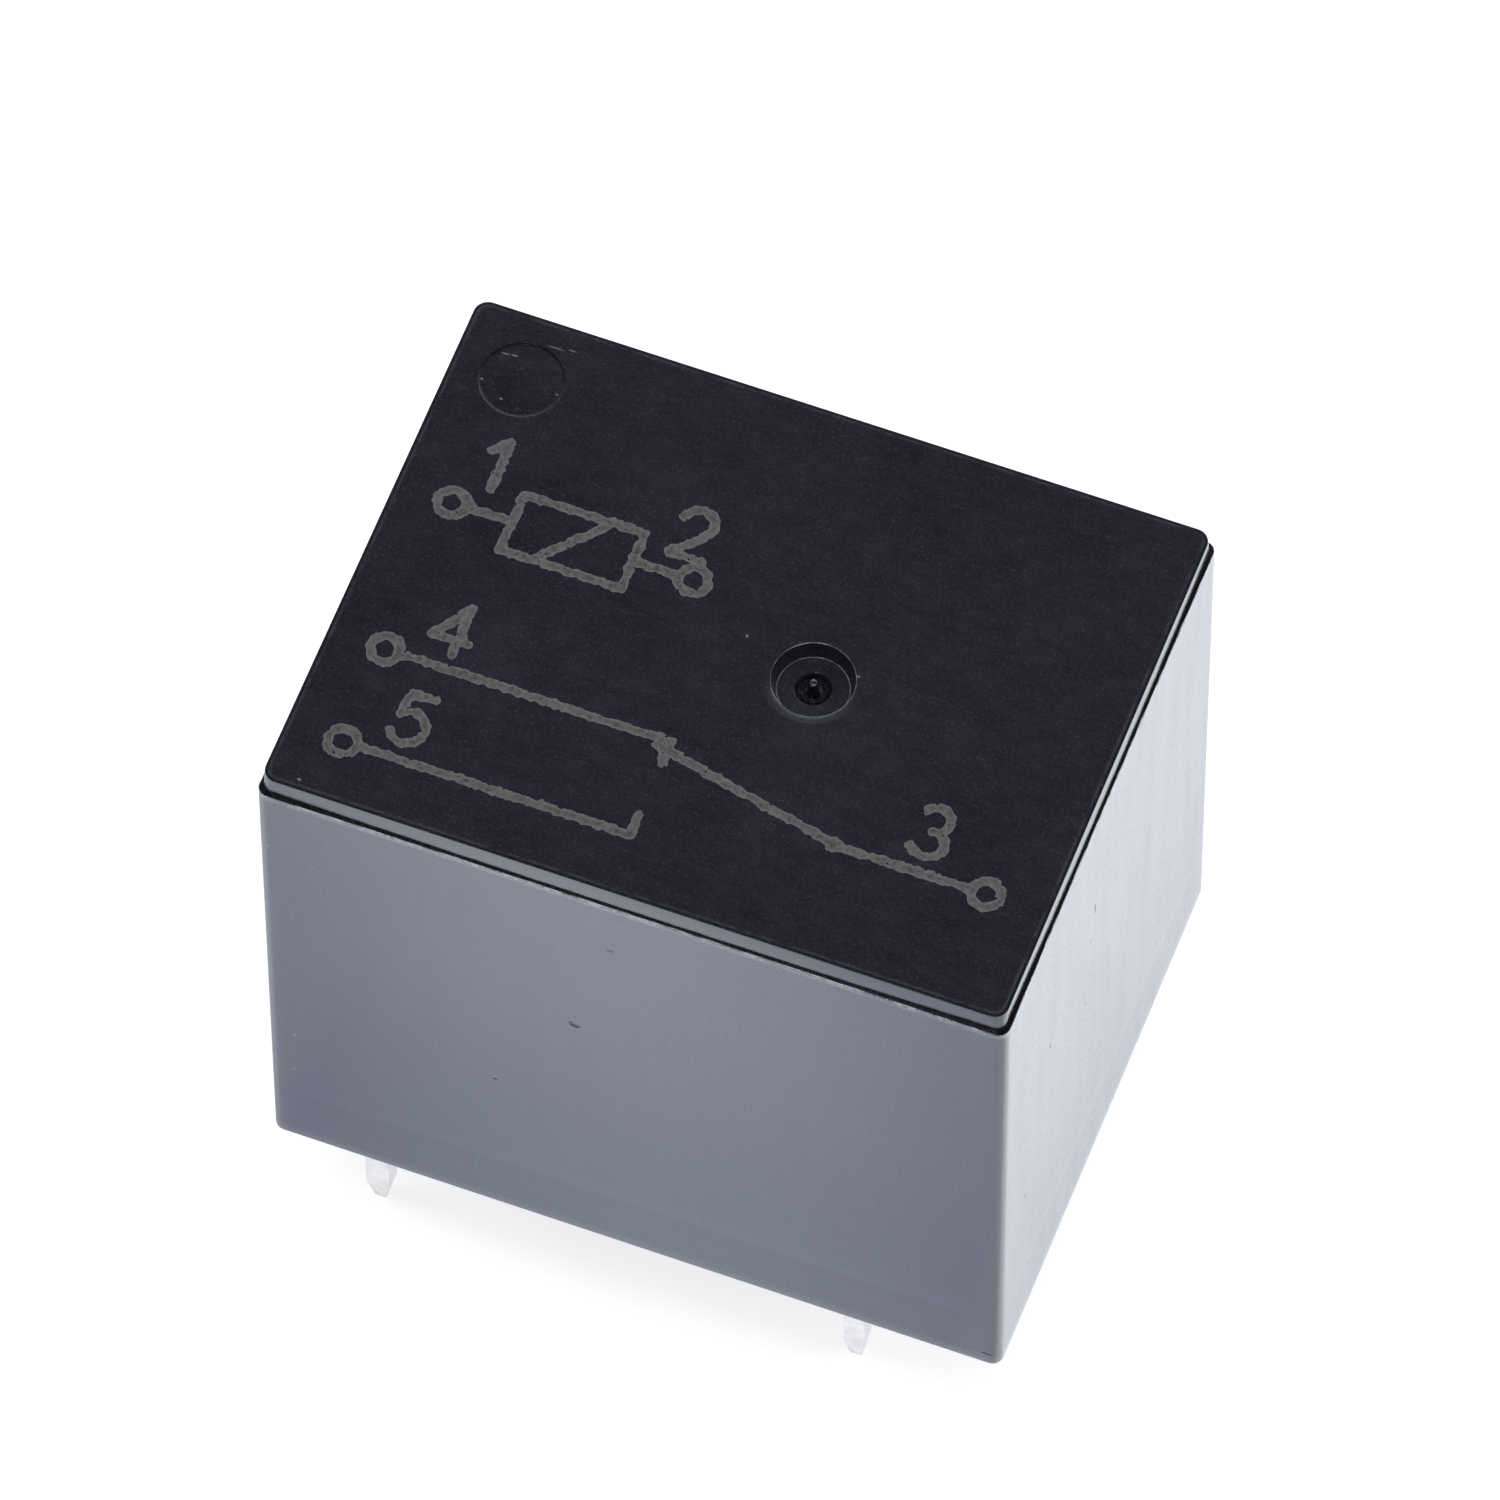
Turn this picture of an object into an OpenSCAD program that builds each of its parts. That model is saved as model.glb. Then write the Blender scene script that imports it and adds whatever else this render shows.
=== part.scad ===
// Sealed single-pole changeover relay for a printed circuit board.
// The origin is in the board plane, in the middle of the cover's rim. +Z points up, away from the
// board, and +X along the cover, from the contact end to the hinge end. All sizes are in millimetres.

/* [Cover] */
// Length of the cover along X
cover_l = 20.9; // [20:0.1:25]
// Width of the cover along Y
cover_w = 16; // [15:0.1:19]
// Height of the cover above the board
cover_h = 18.4; // [16.5:0.1:22]
// Thickness of the side walls
wall_t = 0.8; // [0.6:0.05:1]
// Thickness of the roof
roof_t = 1; // [0.8:0.05:1.5]
// Radius of the upright edges
edge_r = 0.3; // [0.2:0.05:0.5]
// Radius of the upright corners inside
inner_r = 0.3; // [0.15:0.05:0.6]
// Height of the stepped top plate above its ledge
step_h = 0.65; // [0.3:0.05:1]
// Width of the ledge round the top plate
step_in = 0.15; // [0.05:0.01:0.3]
// Corner radius of the top plate
plate_r = 0.5; // [0.3:0.05:0.9]
// Chamfer that breaks the upper edges
edge_break = 0.04; // [0.02:0.01:0.1]
// Depth of the rebate in the rim that takes the base
rebate = 0.15; // [0.05:0.01:0.3]

/* [Gate recess] */
// Distance of the moulding gate from the middle of the top, along X
gate_x = 2.1; // [-4:0.1:6]
// Width of the recess at its mouth
gate_d = 2.25; // [1.8:0.05:3]
// How far the wall of the recess leans in
gate_lean = 0.17; // [0.05:0.01:0.3]
// Depth of the recess
gate_depth = 0.5; // [0.2:0.05:0.6]
// Width of the softened lip round the mouth
lip_w = 0.2; // [0.1:0.05:0.4]
// Depth of the lip
lip_depth = 0.05; // [0.02:0.01:0.1]
// Width of the dimple in the floor
dimple_d = 0.95; // [0.6:0.05:1.2]
// Depth of the dimple
dimple_depth = 0.15; // [0.05:0.05:0.2]
// Width of the broken-off gate stub
stub_d = 0.36; // [0.2:0.02:0.5]
// Width left at the top of the stub
stub_tip = 0.2; // [0.1:0.02:0.3]
// Height of the gate stub above the floor of the dimple
stub_h = 0.5; // [0.2:0.05:0.6]

/* [Vent mark] */
// Width of the vent mark
vent_d = 2.3; // [1.5:0.1:3]
// Distance of its middle from the two nearest sides
vent_in = 2.1; // [1.8:0.1:3]
// Depth of the mark at its edge
vent_depth = 0.05; // [0.02:0.01:0.1]
// Further depth of its dished middle
vent_dish = 0.05; // [0.02:0.01:0.1]

/* [Base and resin] */
// Depth of the resin's face inside the rim
resin_in = 0.35; // [0.1:0.05:0.8]
// Thickness of the resin
resin_t = 0.75; // [0.4:0.05:1.2]
// Thickness of the base plate
base_t = 1.4; // [1:0.1:2]
// Clearance round the base plate
base_fit = 0.05; // [0.02:0.01:0.1]
// Clearance round a pin in its slot
slot_fit = 0.03; // [0.01:0.01:0.08]
// Thickness of the barrier between the coil and the contacts
barrier_t = 0.6; // [0.4:0.05:0.9]
// Space between the barrier and the fixed contact strips
barrier_room = 0.5; // [0.3:0.05:1]
// Width of the posts behind the fixed contact strips
post_w = 2.2; // [1.5:0.1:3]
// Thickness of the posts
post_t = 0.9; // [0.6:0.1:1.5]
// Height of the posts
post_h = 4.5; // [3:0.1:6]
// Thickness of the ribs beside the yoke's foot
rib_t = 0.6; // [0.4:0.05:0.9]
// Height of the ribs
rib_h = 0.9; // [0.5:0.1:1.1]

/* [Pins] */
// Length of the pins below the board plane
pin_len = 4.5; // [3:0.1:6]
// Distance of the pin rows from the long sides of the cover
pin_row_in = 1.5; // [1.4:0.05:2]
// Distance of the contact pins from the contact end of the cover
contact_pin_in = 2.5; // [2.2:0.05:3.5]
// Distance of the coil pins from the hinge end of the cover
coil_pin_in = 4.6; // [4.3:0.05:5.5]
// Width of a contact pin
contact_pin_w = 0.7; // [0.5:0.05:1]
// Width of the common pin
com_pin_w = 0.8; // [0.5:0.05:1.2]
// Width of a square coil pin
coil_pin_w = 0.6; // [0.4:0.05:0.7]
// Length of the tapered tips
tip_len = 0.9; // [0.4:0.1:1.5]
// Width left at the tips
tip_w = 0.35; // [0.2:0.05:0.4]

/* [Magnet] */
// Thickness of the yoke
yoke_t = 1.2; // [0.9:0.05:1.4]
// Radius of the yoke's outer bend
yoke_r = 0.8; // [0.4:0.05:0.9]
// Room between the yoke and the long walls of the cover
side_room = 1.6; // [1.5:0.05:2]
// Room between the staked bosses and the end wall of the cover
back_room = 0.35; // [0.2:0.05:0.6]
// Width of the ears beside the armature's tongue
ear_w = 0.6; // [0.4:0.05:0.7]
// Height of the ears
ear_h = 0.9; // [0.5:0.05:1]
// Drop of the yoke's top edge outside the ears
ear_drop = 0.3; // [0.2:0.05:0.6]
// Clearance beside the armature's tongue
ear_fit = 0.1; // [0.05:0.01:0.15]
// Radius of the core
core_r = 2; // [1.7:0.05:2.2]
// Radius of the core's tenon in the yoke
tenon_r = 1.6; // [1.2:0.05:1.7]
// Radius of the pole head
pole_r = 3.2; // [2.8:0.05:3.5]
// Thickness of the pole head
pole_t = 0.9; // [0.6:0.05:1.2]
// Chamfer of the pole head
pole_break = 0.15; // [0.05:0.05:0.25]
// Thickness of the armature
armature_t = 1.2; // [0.9:0.05:1.4]
// Width of the armature
armature_w = 9.6; // [9.4:0.1:11]
// Corner radius of the armature
armature_r = 1.2; // [0.5:0.1:2]
// Overhang of the armature past the pole head
armature_over = 0.8; // [0.4:0.1:1.2]
// Width of the armature's hinge tongue
tongue_w = 5; // [4.4:0.1:5.2]
// Length of the hinge tongue
tongue_l = 2.3; // [2.1:0.05:2.6]
// Angle that the armature swings through
swing = 3; // [2:0.1:3.6]
// Gap left over the pole when the armature is pulled in
air_gap = 0.05; // [0.03:0.01:0.1]

/* [Coil] */
// Thickness of the bobbin's flanges
flange_t = 0.8; // [0.5:0.05:1]
// Corner radius of the flanges
flange_r = 1; // [0.5:0.1:2]
// Wall of the bobbin's tube
tube_t = 0.6; // [0.4:0.05:0.9]
// Clearance of the core in the tube
core_fit = 0.05; // [0.02:0.01:0.1]
// Clearance between the bobbin and its neighbours
bobbin_fit = 0.1; // [0.05:0.01:0.2]
// Margin of the flanges past the winding
coil_margin = 0.5; // [0.3:0.05:1]
// Pitch of the wire's turns
turn_pitch = 0.25; // [0.2:0.01:0.4]
// Width of the lugs that hold the coil pins
lug_w = 1.8; // [1.4:0.1:2.4]
// Rise of the lugs above the lower flange
lug_rise = 0.4; // [0.2:0.05:0.8]
// Gap between the lugs and the cover
lug_room = 0.15; // [0.1:0.01:0.25]
// Height of the soldered wrap on a coil pin
wrap_h = 1.5; // [1:0.1:2]
// Length of coil pin that stands above the wrap
wrap_over = 0.3; // [0.1:0.05:0.6]
// Radius of the lead wires
lead_r = 0.1; // [0.06:0.01:0.14]
// Gap between a lead wire and what it lies on
lead_fit = 0.02; // [0.01:0.01:0.05]

/* [Contacts] */
// Distance of the fixed contacts from the contact end of the cover
contact_in = 3.55; // [3.4:0.05:3.9]
// Radius of the contact heads
contact_r = 1.5; // [1.2:0.05:1.7]
// Thickness of the contact heads
contact_h = 0.5; // [0.35:0.05:0.65]
// Rise of the moving contact's domed faces
dome_h = 0.15; // [0.1:0.01:0.25]
// Chamfer of the fixed contact heads
contact_break = 0.12; // [0.05:0.01:0.2]
// Radius of the rivets' shanks
shank_r = 0.75; // [0.5:0.05:0.9]
// Radius of the rivets' staked tails
tail_r = 1.1; // [0.95:0.05:1.3]
// Thickness of the staked tails
tail_h = 0.25; // [0.15:0.05:0.35]
// Gap drawn at a touching contact
touch_gap = 0.03; // [0.02:0.01:0.05]
// Room between the upper rivet tail and the roof
head_room = 0.25; // [0.15:0.05:0.6]
// Thickness of the fixed contact and common strips
strip_t = 0.6; // [0.4:0.05:0.7]
// Bend radius inside the strips
strip_r = 0.4; // [0.2:0.05:0.8]
// Width of the fixed contact strips
strip_w = 3.6; // [3.4:0.1:3.8]
// Thickness of the contact spring
spring_t = 0.25; // [0.15:0.01:0.3]
// Bend radius of the contact spring at its middle layer
bend_r = 1.6; // [1.4:0.05:1.8]
// Width of each hinge strip of the spring
hinge_w = 1.3; // [1:0.05:1.4]
// Gap between the ears and the hinge strips
hinge_gap = 0.2; // [0.1:0.05:0.3]
// Width of the spring's tongue at the contact
leaf_w = 3.4; // [3.1:0.1:3.6]
// Length of spring that lies on the armature past its rear edge
leaf_hold = 5; // [4:0.1:5.5]
// Length of the spring's taper
leaf_taper = 2.6; // [1.5:0.1:3]
// Length of the hinge strips down the back of the yoke
hinge_drop = 1.6; // [1.2:0.1:2]
// Height of the spring's plate on the back of the yoke
heel_h = 3.4; // [2.6:0.1:3.6]
// Radius of the staked bosses
boss_r = 0.7; // [0.5:0.05:0.75]
// Radius of the bosses' staked heads
stake_r = 1.05; // [0.9:0.05:1.2]
// Thickness of the staked heads
stake_h = 0.3; // [0.2:0.05:0.4]
// Distance of the spring's bosses from the middle, along Y
boss_y = 2.6; // [2.2:0.1:3]
// Clearance of a boss or shank in its hole
rivet_fit = 0.02; // [0.01:0.01:0.05]
// Width of the common strip on the yoke
com_w = 5.6; // [5:0.1:7]
// Gap between the common strip and the spring
com_gap = 0.6; // [0.3:0.1:1]
// Distance of the common strip's bosses from the middle, along Y
com_boss_y = 1.5; // [1.3:0.1:2]
// Drop of those bosses below the top of the strip
com_boss_drop = 1.6; // [1.3:0.1:2]

/* [Hidden] */
$fn = 48;
// Length by which a cutting tool runs past the face that it cuts
past = 1;

// Room inside the cover
cav_x = cover_l / 2 - wall_t;
cav_y = cover_w / 2 - wall_t;
roof_low = cover_h - roof_t;

// Levels from the board upwards
base_low = resin_in + resin_t;
base_top = base_low + base_t;
foot_top = base_top + yoke_t;
flange_top = foot_top + flange_t;
lug_top = flange_top + lug_rise;

// Pin places
pin_y = cover_w / 2 - pin_row_in;
contact_pin_x = contact_pin_in - cover_l / 2;
coil_pin_x = cover_l / 2 - coil_pin_in;

// Upper fixed contact, hung from the roof downwards
contact_x = contact_in - cover_l / 2;
nc_low = roof_low - head_room - tail_h - strip_t;
nc_face = nc_low - contact_h;

// Hinge line of the armature: the outer top edge of the yoke, level with the pole face
hinge_x = cav_x - back_room - stake_h - strip_t;
reach = hinge_x - contact_x;
lift = air_gap + armature_t;
hinge_z = nc_face - touch_gap - reach * sin(swing) - (lift + spring_t + contact_h) * cos(swing);

// Lower fixed contact, just under the moving contact when the armature is pulled in
no_face = hinge_z + lift - contact_h - touch_gap;
no_low = no_face - contact_h - strip_t;

// Common strip on the back of the yoke
com_x = hinge_x + strip_t / 2;
heel_low = hinge_z - hinge_drop - heel_h;
heel_boss_z = heel_low + heel_h / 2;
com_top = heel_low - com_gap;
com_boss_z = com_top - com_boss_drop;

// Coil and bobbin, between the barrier and the yoke
barrier_x = contact_x + strip_w / 2 + barrier_room;
flange_low_x = barrier_x + barrier_t + bobbin_fit;
flange_high_x = hinge_x - yoke_t - bobbin_fit;
flange_l = flange_high_x - flange_low_x;
coil_x = (flange_low_x + flange_high_x) / 2;
yoke_w = 2 * (cav_y - side_room);
tube_r = core_r + core_fit + tube_t;
coil_r = min(flange_l, yoke_w) / 2 - coil_margin;
pole_low = hinge_z - pole_t;
coil_low = flange_top;
coil_high = pole_low - flange_t;
lug_y = cav_y - lug_room;
solder_r = lug_y - pin_y;

// Hinge strips and leaf of the spring
ear_y = tongue_w / 2 + ear_fit;
strip_y = ear_y + ear_w + hinge_gap;
spring_w = 2 * (strip_y + hinge_w);
armature_l = hinge_x - coil_x + pole_r + armature_over;
armature_boss_x = tongue_l + leaf_hold / 2;
bend_x = spring_t / 2 - bend_r;
bend_z = (lift + spring_t / 2 - bend_r - sin(swing) * bend_x) / cos(swing);
// Number of flats that the bend of the spring is drawn with
bend_flats = 16;

// Lead wires: their level, and the angle that they follow the winding through
lead_z = lug_top + wrap_h / 2;
lead_lap = 40;

// A rectangle with round corners
module round_rect(l, w, r) {
    square([l - 2 * r, w], center = true);
    square([l, w - 2 * r], center = true);
    for (x = [-1, 1], y = [-1, 1])
        translate([x * (l / 2 - r), y * (w / 2 - r)])
            circle(r);
}

// Section of a block with its upper edges chamfered
module broken_section(w, h, c) {
    polygon([
        [-w / 2, 0], [w / 2, 0], [w / 2, h - c], [w / 2 - c, h], [c - w / 2, h], [-w / 2, h - c]
    ]);
}

// A round disc with its upper edge chamfered
module broken_disc(r, h, c) {
    cylinder(r = r, h = h - c);
    translate([0, 0, h - c])
        cylinder(r1 = r, r2 = r - c, h = c);
}

// A block with round upright edges, chamfered round the top
module broken_block(l, w, h, r, c) {
    for (x = [-1, 1], y = [-1, 1])
        translate([x * (l / 2 - r), y * (w / 2 - r), 0])
            broken_disc(r, h, c);
    rotate([90, 0, 90])
        translate([0, 0, r - l / 2])
            linear_extrude(l - 2 * r)
                broken_section(w, h, c);
    rotate([90, 0, 0])
        translate([0, 0, r - w / 2])
            linear_extrude(w - 2 * r)
                broken_section(l, h, c);
}

// A disc whose upper face is part of a sphere
module domed_disc(r, h, rise) {
    ball_r = (r * r + rise * rise) / (2 * rise);
    intersection() {
        cylinder(r = r, h = h);
        translate([0, 0, h - ball_r])
            sphere(ball_r, $fn = 96);
    }
}

// A staked boss along +Z: its neck through a plate and its upset head
module staked_boss(plate_t) {
    cylinder(r = boss_r, h = plate_t);
    translate([0, 0, plate_t])
        domed_disc(stake_r, stake_h, stake_h / 2);
}

// Side view of a pin: straight down to its tapered tip
module pin_view(w, high) {
    low = -pin_len;
    polygon([
        [-w / 2, high], [-w / 2, low + tip_len], [-tip_w / 2, low],
        [tip_w / 2, low], [w / 2, low + tip_len], [w / 2, high]
    ]);
}

// A rectangular pin, tapered on all four sides of its tip
module pin(size_x, size_y, high) {
    intersection() {
        rotate([90, 0, 0])
            translate([0, 0, -size_y])
                linear_extrude(2 * size_y)
                    pin_view(size_x, high);
        rotate([90, 0, 90])
            translate([0, 0, -size_x])
                linear_extrude(2 * size_x)
                    pin_view(size_y, high);
    }
}

// Sections of the five pins at their places, grown by a clearance
module pin_sections(grow) {
    for (y = [-pin_y, pin_y]) {
        translate([contact_pin_x, y])
            square([contact_pin_w + 2 * grow, strip_t + 2 * grow], center = true);
        translate([coil_pin_x, y])
            square([coil_pin_w + 2 * grow, coil_pin_w + 2 * grow], center = true);
    }
    translate([com_x, 0])
        square([strip_t + 2 * grow, com_pin_w + 2 * grow], center = true);
}

// Puts what is drawn with its hinge line on the Y axis, pulled in, at its place of rest
module on_hinge() {
    translate([hinge_x, 0, hinge_z])
        rotate([0, swing, 0])
            children();
}

// Sunk moulding gate, cut from the top face downwards
module gate_cut() {
    mouth_r = gate_d / 2;
    floor_r = mouth_r - gate_lean;
    translate([gate_x, 0, cover_h]) {
        translate([0, 0, -lip_depth])
            cylinder(r1 = mouth_r, r2 = mouth_r + lip_w, h = lip_depth);
        cylinder(r = mouth_r + lip_w, h = past);
        translate([0, 0, -gate_depth])
            cylinder(r1 = floor_r, r2 = mouth_r, h = gate_depth);
        translate([0, 0, -gate_depth - dimple_depth])
            cylinder(r1 = dimple_d / 3, r2 = dimple_d / 2, h = dimple_depth);
    }
}

// Shallow round vent mark with a dished floor
module vent_cut() {
    mark_r = vent_d / 2;
    ball_r = (mark_r * mark_r + vent_dish * vent_dish) / (2 * vent_dish);
    translate([vent_in - cover_l / 2, cover_w / 2 - vent_in, cover_h - vent_depth]) {
        cylinder(r = mark_r, h = past);
        intersection() {
            translate([0, 0, ball_r - vent_dish])
                sphere(ball_r, $fn = 96);
            translate([0, 0, -past])
                cylinder(r = mark_r, h = past);
        }
    }
}

// One-piece moulded case, open at the board
module cover() {
    color("#1b1b20") {
        difference() {
            union() {
                broken_block(cover_l, cover_w, cover_h - step_h, edge_r, edge_break);
                broken_block(cover_l - 2 * step_in, cover_w - 2 * step_in, cover_h, plate_r, edge_break);
            }
            translate([0, 0, -past])
                linear_extrude(past + roof_low)
                    round_rect(2 * cav_x, 2 * cav_y, inner_r);
            translate([0, 0, -past])
                linear_extrude(past + base_top)
                    round_rect(2 * (cav_x + rebate), 2 * (cav_y + rebate), inner_r);
            gate_cut();
            vent_cut();
        }
        translate([gate_x, 0, cover_h - gate_depth - dimple_depth])
            cylinder(d1 = stub_d, d2 = stub_tip, h = stub_h);
    }
}

// Moulded base plate with the barrier, the terminal posts and the ribs beside the yoke
module base() {
    post_y = pin_y - strip_t / 2 - slot_fit;
    rib_low = yoke_w / 2 + bobbin_fit;
    rib_x = coil_pin_x - lug_w / 2 - bobbin_fit;
    color("#26262a") {
        translate([0, 0, base_low])
            linear_extrude(base_t)
                difference() {
                    round_rect(2 * (cav_x + rebate - base_fit), 2 * (cav_y + rebate - base_fit), inner_r);
                    pin_sections(slot_fit);
                }
        translate([barrier_x, base_fit - cav_y, base_top])
            cube([barrier_t, 2 * (cav_y - base_fit), pole_low - base_top]);
        for (side = [0, 1])
            mirror([0, side, 0]) {
                translate([contact_x - post_w / 2, post_y - post_t, base_top])
                    cube([post_w, post_t, post_h]);
                translate([barrier_x, rib_low, base_top])
                    cube([rib_x - barrier_x, rib_t, rib_h]);
            }
    }
}

// Cast resin round the pins, under the base
module resin_seal() {
    color("#101012")
        translate([0, 0, resin_in])
            linear_extrude(resin_t)
                difference() {
                    round_rect(2 * (cav_x + rebate), 2 * (cav_y + rebate), inner_r);
                    pin_sections(0);
                }
}

// Plan of a bobbin flange
module flange_plan() {
    translate([coil_x, 0])
        round_rect(flange_l, yoke_w, flange_r);
}

// Moulded coil former: two flanges on a tube, and a lug for each coil pin
module bobbin() {
    lug_low_y = yoke_w / 2 + bobbin_fit;
    color("#e8e4d8")
        difference() {
            union() {
                translate([0, 0, foot_top])
                    linear_extrude(flange_t)
                        flange_plan();
                translate([0, 0, coil_high])
                    linear_extrude(flange_t)
                        flange_plan();
                translate([coil_x, 0, foot_top])
                    cylinder(r = tube_r, h = pole_low - foot_top);
                for (side = [0, 1])
                    mirror([0, side, 0]) {
                        translate([coil_pin_x - lug_w / 2, yoke_w / 2 - flange_r, foot_top])
                            cube([lug_w, lug_y - yoke_w / 2 + flange_r, flange_t]);
                        translate([coil_pin_x - lug_w / 2, lug_low_y, base_top])
                            cube([lug_w, lug_y - lug_low_y, lug_top - base_top]);
                    }
            }
            translate([coil_x, 0, foot_top - past])
                cylinder(r = core_r + core_fit, h = pole_low - foot_top + 2 * past);
            for (y = [-pin_y, pin_y])
                translate([coil_pin_x, y, lug_top / 2])
                    cube([coil_pin_w, coil_pin_w, lug_top + past], center = true);
        }
}

// Enamelled wire, with the ridges of its outermost turns
module coil_winding() {
    turns = floor((coil_high - coil_low) / turn_pitch);
    step = (coil_high - coil_low) / turns;
    groove = step / 4;
    ridges = [for (i = [0 : turns - 1], p = [[0, 1 / 4], [0, 3 / 4], [1, 1]])
        [coil_r - groove * p[0], coil_low + step * (i + p[1])]];
    color("#a8441c")
        translate([coil_x, 0, 0])
            rotate_extrude()
                polygon(concat(
                    [[tube_r, coil_low], [coil_r - groove, coil_low]], ridges, [[tube_r, coil_high]]
                ));
}

// A round wire swept along level points
module level_wire(points, sides = 8) {
    last = len(points) - 1;
    rings = [for (i = [0 : last])
        let (run = points[min(i + 1, last)] - points[max(i - 1, 0)], aim = run / norm(run))
        [for (k = [0 : sides - 1])
            let (a = 360 * k / sides, across = lead_r * cos(a))
            [points[i].x - aim.y * across, points[i].y + aim.x * across, lead_z + lead_r * sin(a)]]];
    walls = [for (i = [0 : last - 1], k = [0 : sides - 1])
        let (n = (k + 1) % sides)
        [i * sides + k, i * sides + n, (i + 1) * sides + n, (i + 1) * sides + k]];
    ends = [[for (k = [sides - 1 : -1 : 0]) k], [for (k = [0 : sides - 1]) last * sides + k]];
    polyhedron([for (ring = rings, p = ring) p], concat(walls, ends));
}

// End of the winding's wire, from the turns to the soldered wrap on its pin
module coil_lead() {
    path_r = coil_r + lead_r + lead_fit;
    middle = [coil_x, 0];
    post = [coil_pin_x, pin_y];
    away = post - middle;
    turn = atan2(away.y, away.x) + acos(path_r / norm(away));
    touch = middle + path_r * [cos(turn), sin(turn)];
    start = post + (solder_r + lead_fit) * (touch - post) / norm(touch - post);
    lap = [for (i = [5 : -1 : 0])
        let (a = turn + lead_lap * i / 5)
        middle + path_r * [cos(a), sin(a)]];
    color("#b5562a")
        level_wire(concat(lap, [(touch + start) / 2, start]));
}

// Soldered wrap of wire on a coil pin
module solder() {
    waist = solder_r * 0.8;
    turn = wrap_h / 3;
    bumps = [for (i = [0 : 2], p = [[0, 0], [1, 1 / 3], [1, 2 / 3]])
        [waist + (solder_r - waist) * p[0], turn * (i + p[1])]];
    color("#c9ccd0")
        translate([coil_pin_x, pin_y, lug_top])
            difference() {
                rotate_extrude()
                    polygon(concat([[0, 0]], bumps, [[waist, wrap_h], [0, wrap_h]]));
                translate([0, 0, wrap_h / 2])
                    cube([coil_pin_w, coil_pin_w, wrap_h + past], center = true);
            }
}

// Square tinned pin of the coil
module coil_pin() {
    color("#d4d6d8")
        translate([coil_pin_x, pin_y, 0])
            pin(coil_pin_w, coil_pin_w, lug_top + wrap_h + wrap_over);
}

// Iron core, staked into the yoke's foot, with its pole head
module core() {
    color("#9a9da1")
        translate([coil_x, 0, 0]) {
            translate([0, 0, base_top])
                cylinder(r = tenon_r, h = yoke_t);
            translate([0, 0, foot_top])
                cylinder(r = core_r, h = pole_low - foot_top);
            translate([0, 0, pole_low])
                broken_disc(pole_r, pole_t, pole_break);
        }
}

// Bent steel frame: a foot under the coil and a leg up to the hinge
module yoke() {
    foot_x = coil_x - pole_r;
    outside = yoke_w / 2 - ear_y - ear_w;
    color("#a3a7ab") {
        difference() {
            rotate([90, 0, 0])
                translate([0, 0, -yoke_w / 2])
                    linear_extrude(yoke_w)
                        difference() {
                            union() {
                                translate([foot_x, base_top])
                                    square([hinge_x - foot_x, yoke_t]);
                                translate([hinge_x - yoke_t, base_top])
                                    square([yoke_t, hinge_z - base_top]);
                            }
                            translate([hinge_x - yoke_r, base_top])
                                difference() {
                                    translate([0, -past])
                                        square([yoke_r + past, yoke_r + past]);
                                    translate([0, yoke_r])
                                        circle(yoke_r);
                                }
                        }
            translate([coil_x, 0, base_top - past])
                cylinder(r = tenon_r + rivet_fit, h = yoke_t + 2 * past);
            for (side = [0, 1])
                mirror([0, side, 0])
                    translate([hinge_x - yoke_t - past, ear_y + ear_w, hinge_z - ear_drop])
                        cube([yoke_t + 2 * past, outside + past, ear_drop + past]);
        }
        for (side = [0, 1])
            mirror([0, side, 0]) {
                translate([hinge_x - yoke_t, ear_y, hinge_z - ear_drop])
                    cube([yoke_t, ear_w, ear_drop + ear_h]);
                translate([hinge_x, boss_y, heel_boss_z])
                    rotate([0, 90, 0])
                        staked_boss(spring_t);
                translate([hinge_x, com_boss_y, com_boss_z])
                    rotate([0, 90, 0])
                        staked_boss(strip_t);
            }
    }
}

// Flat steel plate with a hinge tongue between the yoke's ears
module armature() {
    plate_l = armature_l - tongue_l;
    color("#b0b3b6")
        on_hinge() {
            translate([0, 0, air_gap])
                linear_extrude(armature_t) {
                    translate([-tongue_l - plate_l / 2, 0])
                        round_rect(plate_l, armature_w, armature_r);
                    translate([-tongue_l - armature_r, -tongue_w / 2])
                        square([tongue_l + armature_r, tongue_w]);
                }
            for (y = [-boss_y, boss_y])
                translate([-armature_boss_x, y, lift])
                    staked_boss(spring_t);
        }
}

// A point of the armature's own side view, seen from the hinge line with the armature at rest
function at_rest(x, z) = [x * cos(swing) + z * sin(swing), z * cos(swing) - x * sin(swing)];

// Side view of the spring: up the back of the yoke, round the bend and along the armature
module spring_view() {
    low = heel_low - hinge_z;
    far = -reach - leaf_w / 2 - past;
    bend = [for (i = [0 : bend_flats]) (90 - swing) * i / bend_flats];
    outside = [for (a = bend) [bend_x, bend_z] + (bend_r + spring_t / 2) * [cos(a), sin(a)]];
    inside = [for (i = [bend_flats : -1 : 0])
        [bend_x, bend_z] + (bend_r - spring_t / 2) * [cos(bend[i]), sin(bend[i])]];
    polygon(concat(
        [[0, low], [spring_t, low]], outside,
        [at_rest(far, lift + spring_t), at_rest(far, lift)], inside
    ));
}

// Plan of the leaf: as wide as the spring over the armature, tapered to a round end at the contact
module leaf_plan() {
    tip_x = -tongue_l - leaf_hold - leaf_taper;
    slope = 2 * leaf_taper / (spring_w - leaf_w);
    wide = spring_w / 2 + past;
    open_x = tip_x + slope * (wide - leaf_w / 2);
    polygon([
        [past, wide], [open_x, wide], [tip_x, leaf_w / 2], [-reach, leaf_w / 2],
        [-reach, -leaf_w / 2], [tip_x, -leaf_w / 2], [open_x, -wide], [past, -wide]
    ]);
    translate([-reach, 0])
        circle(leaf_w / 2);
}

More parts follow.
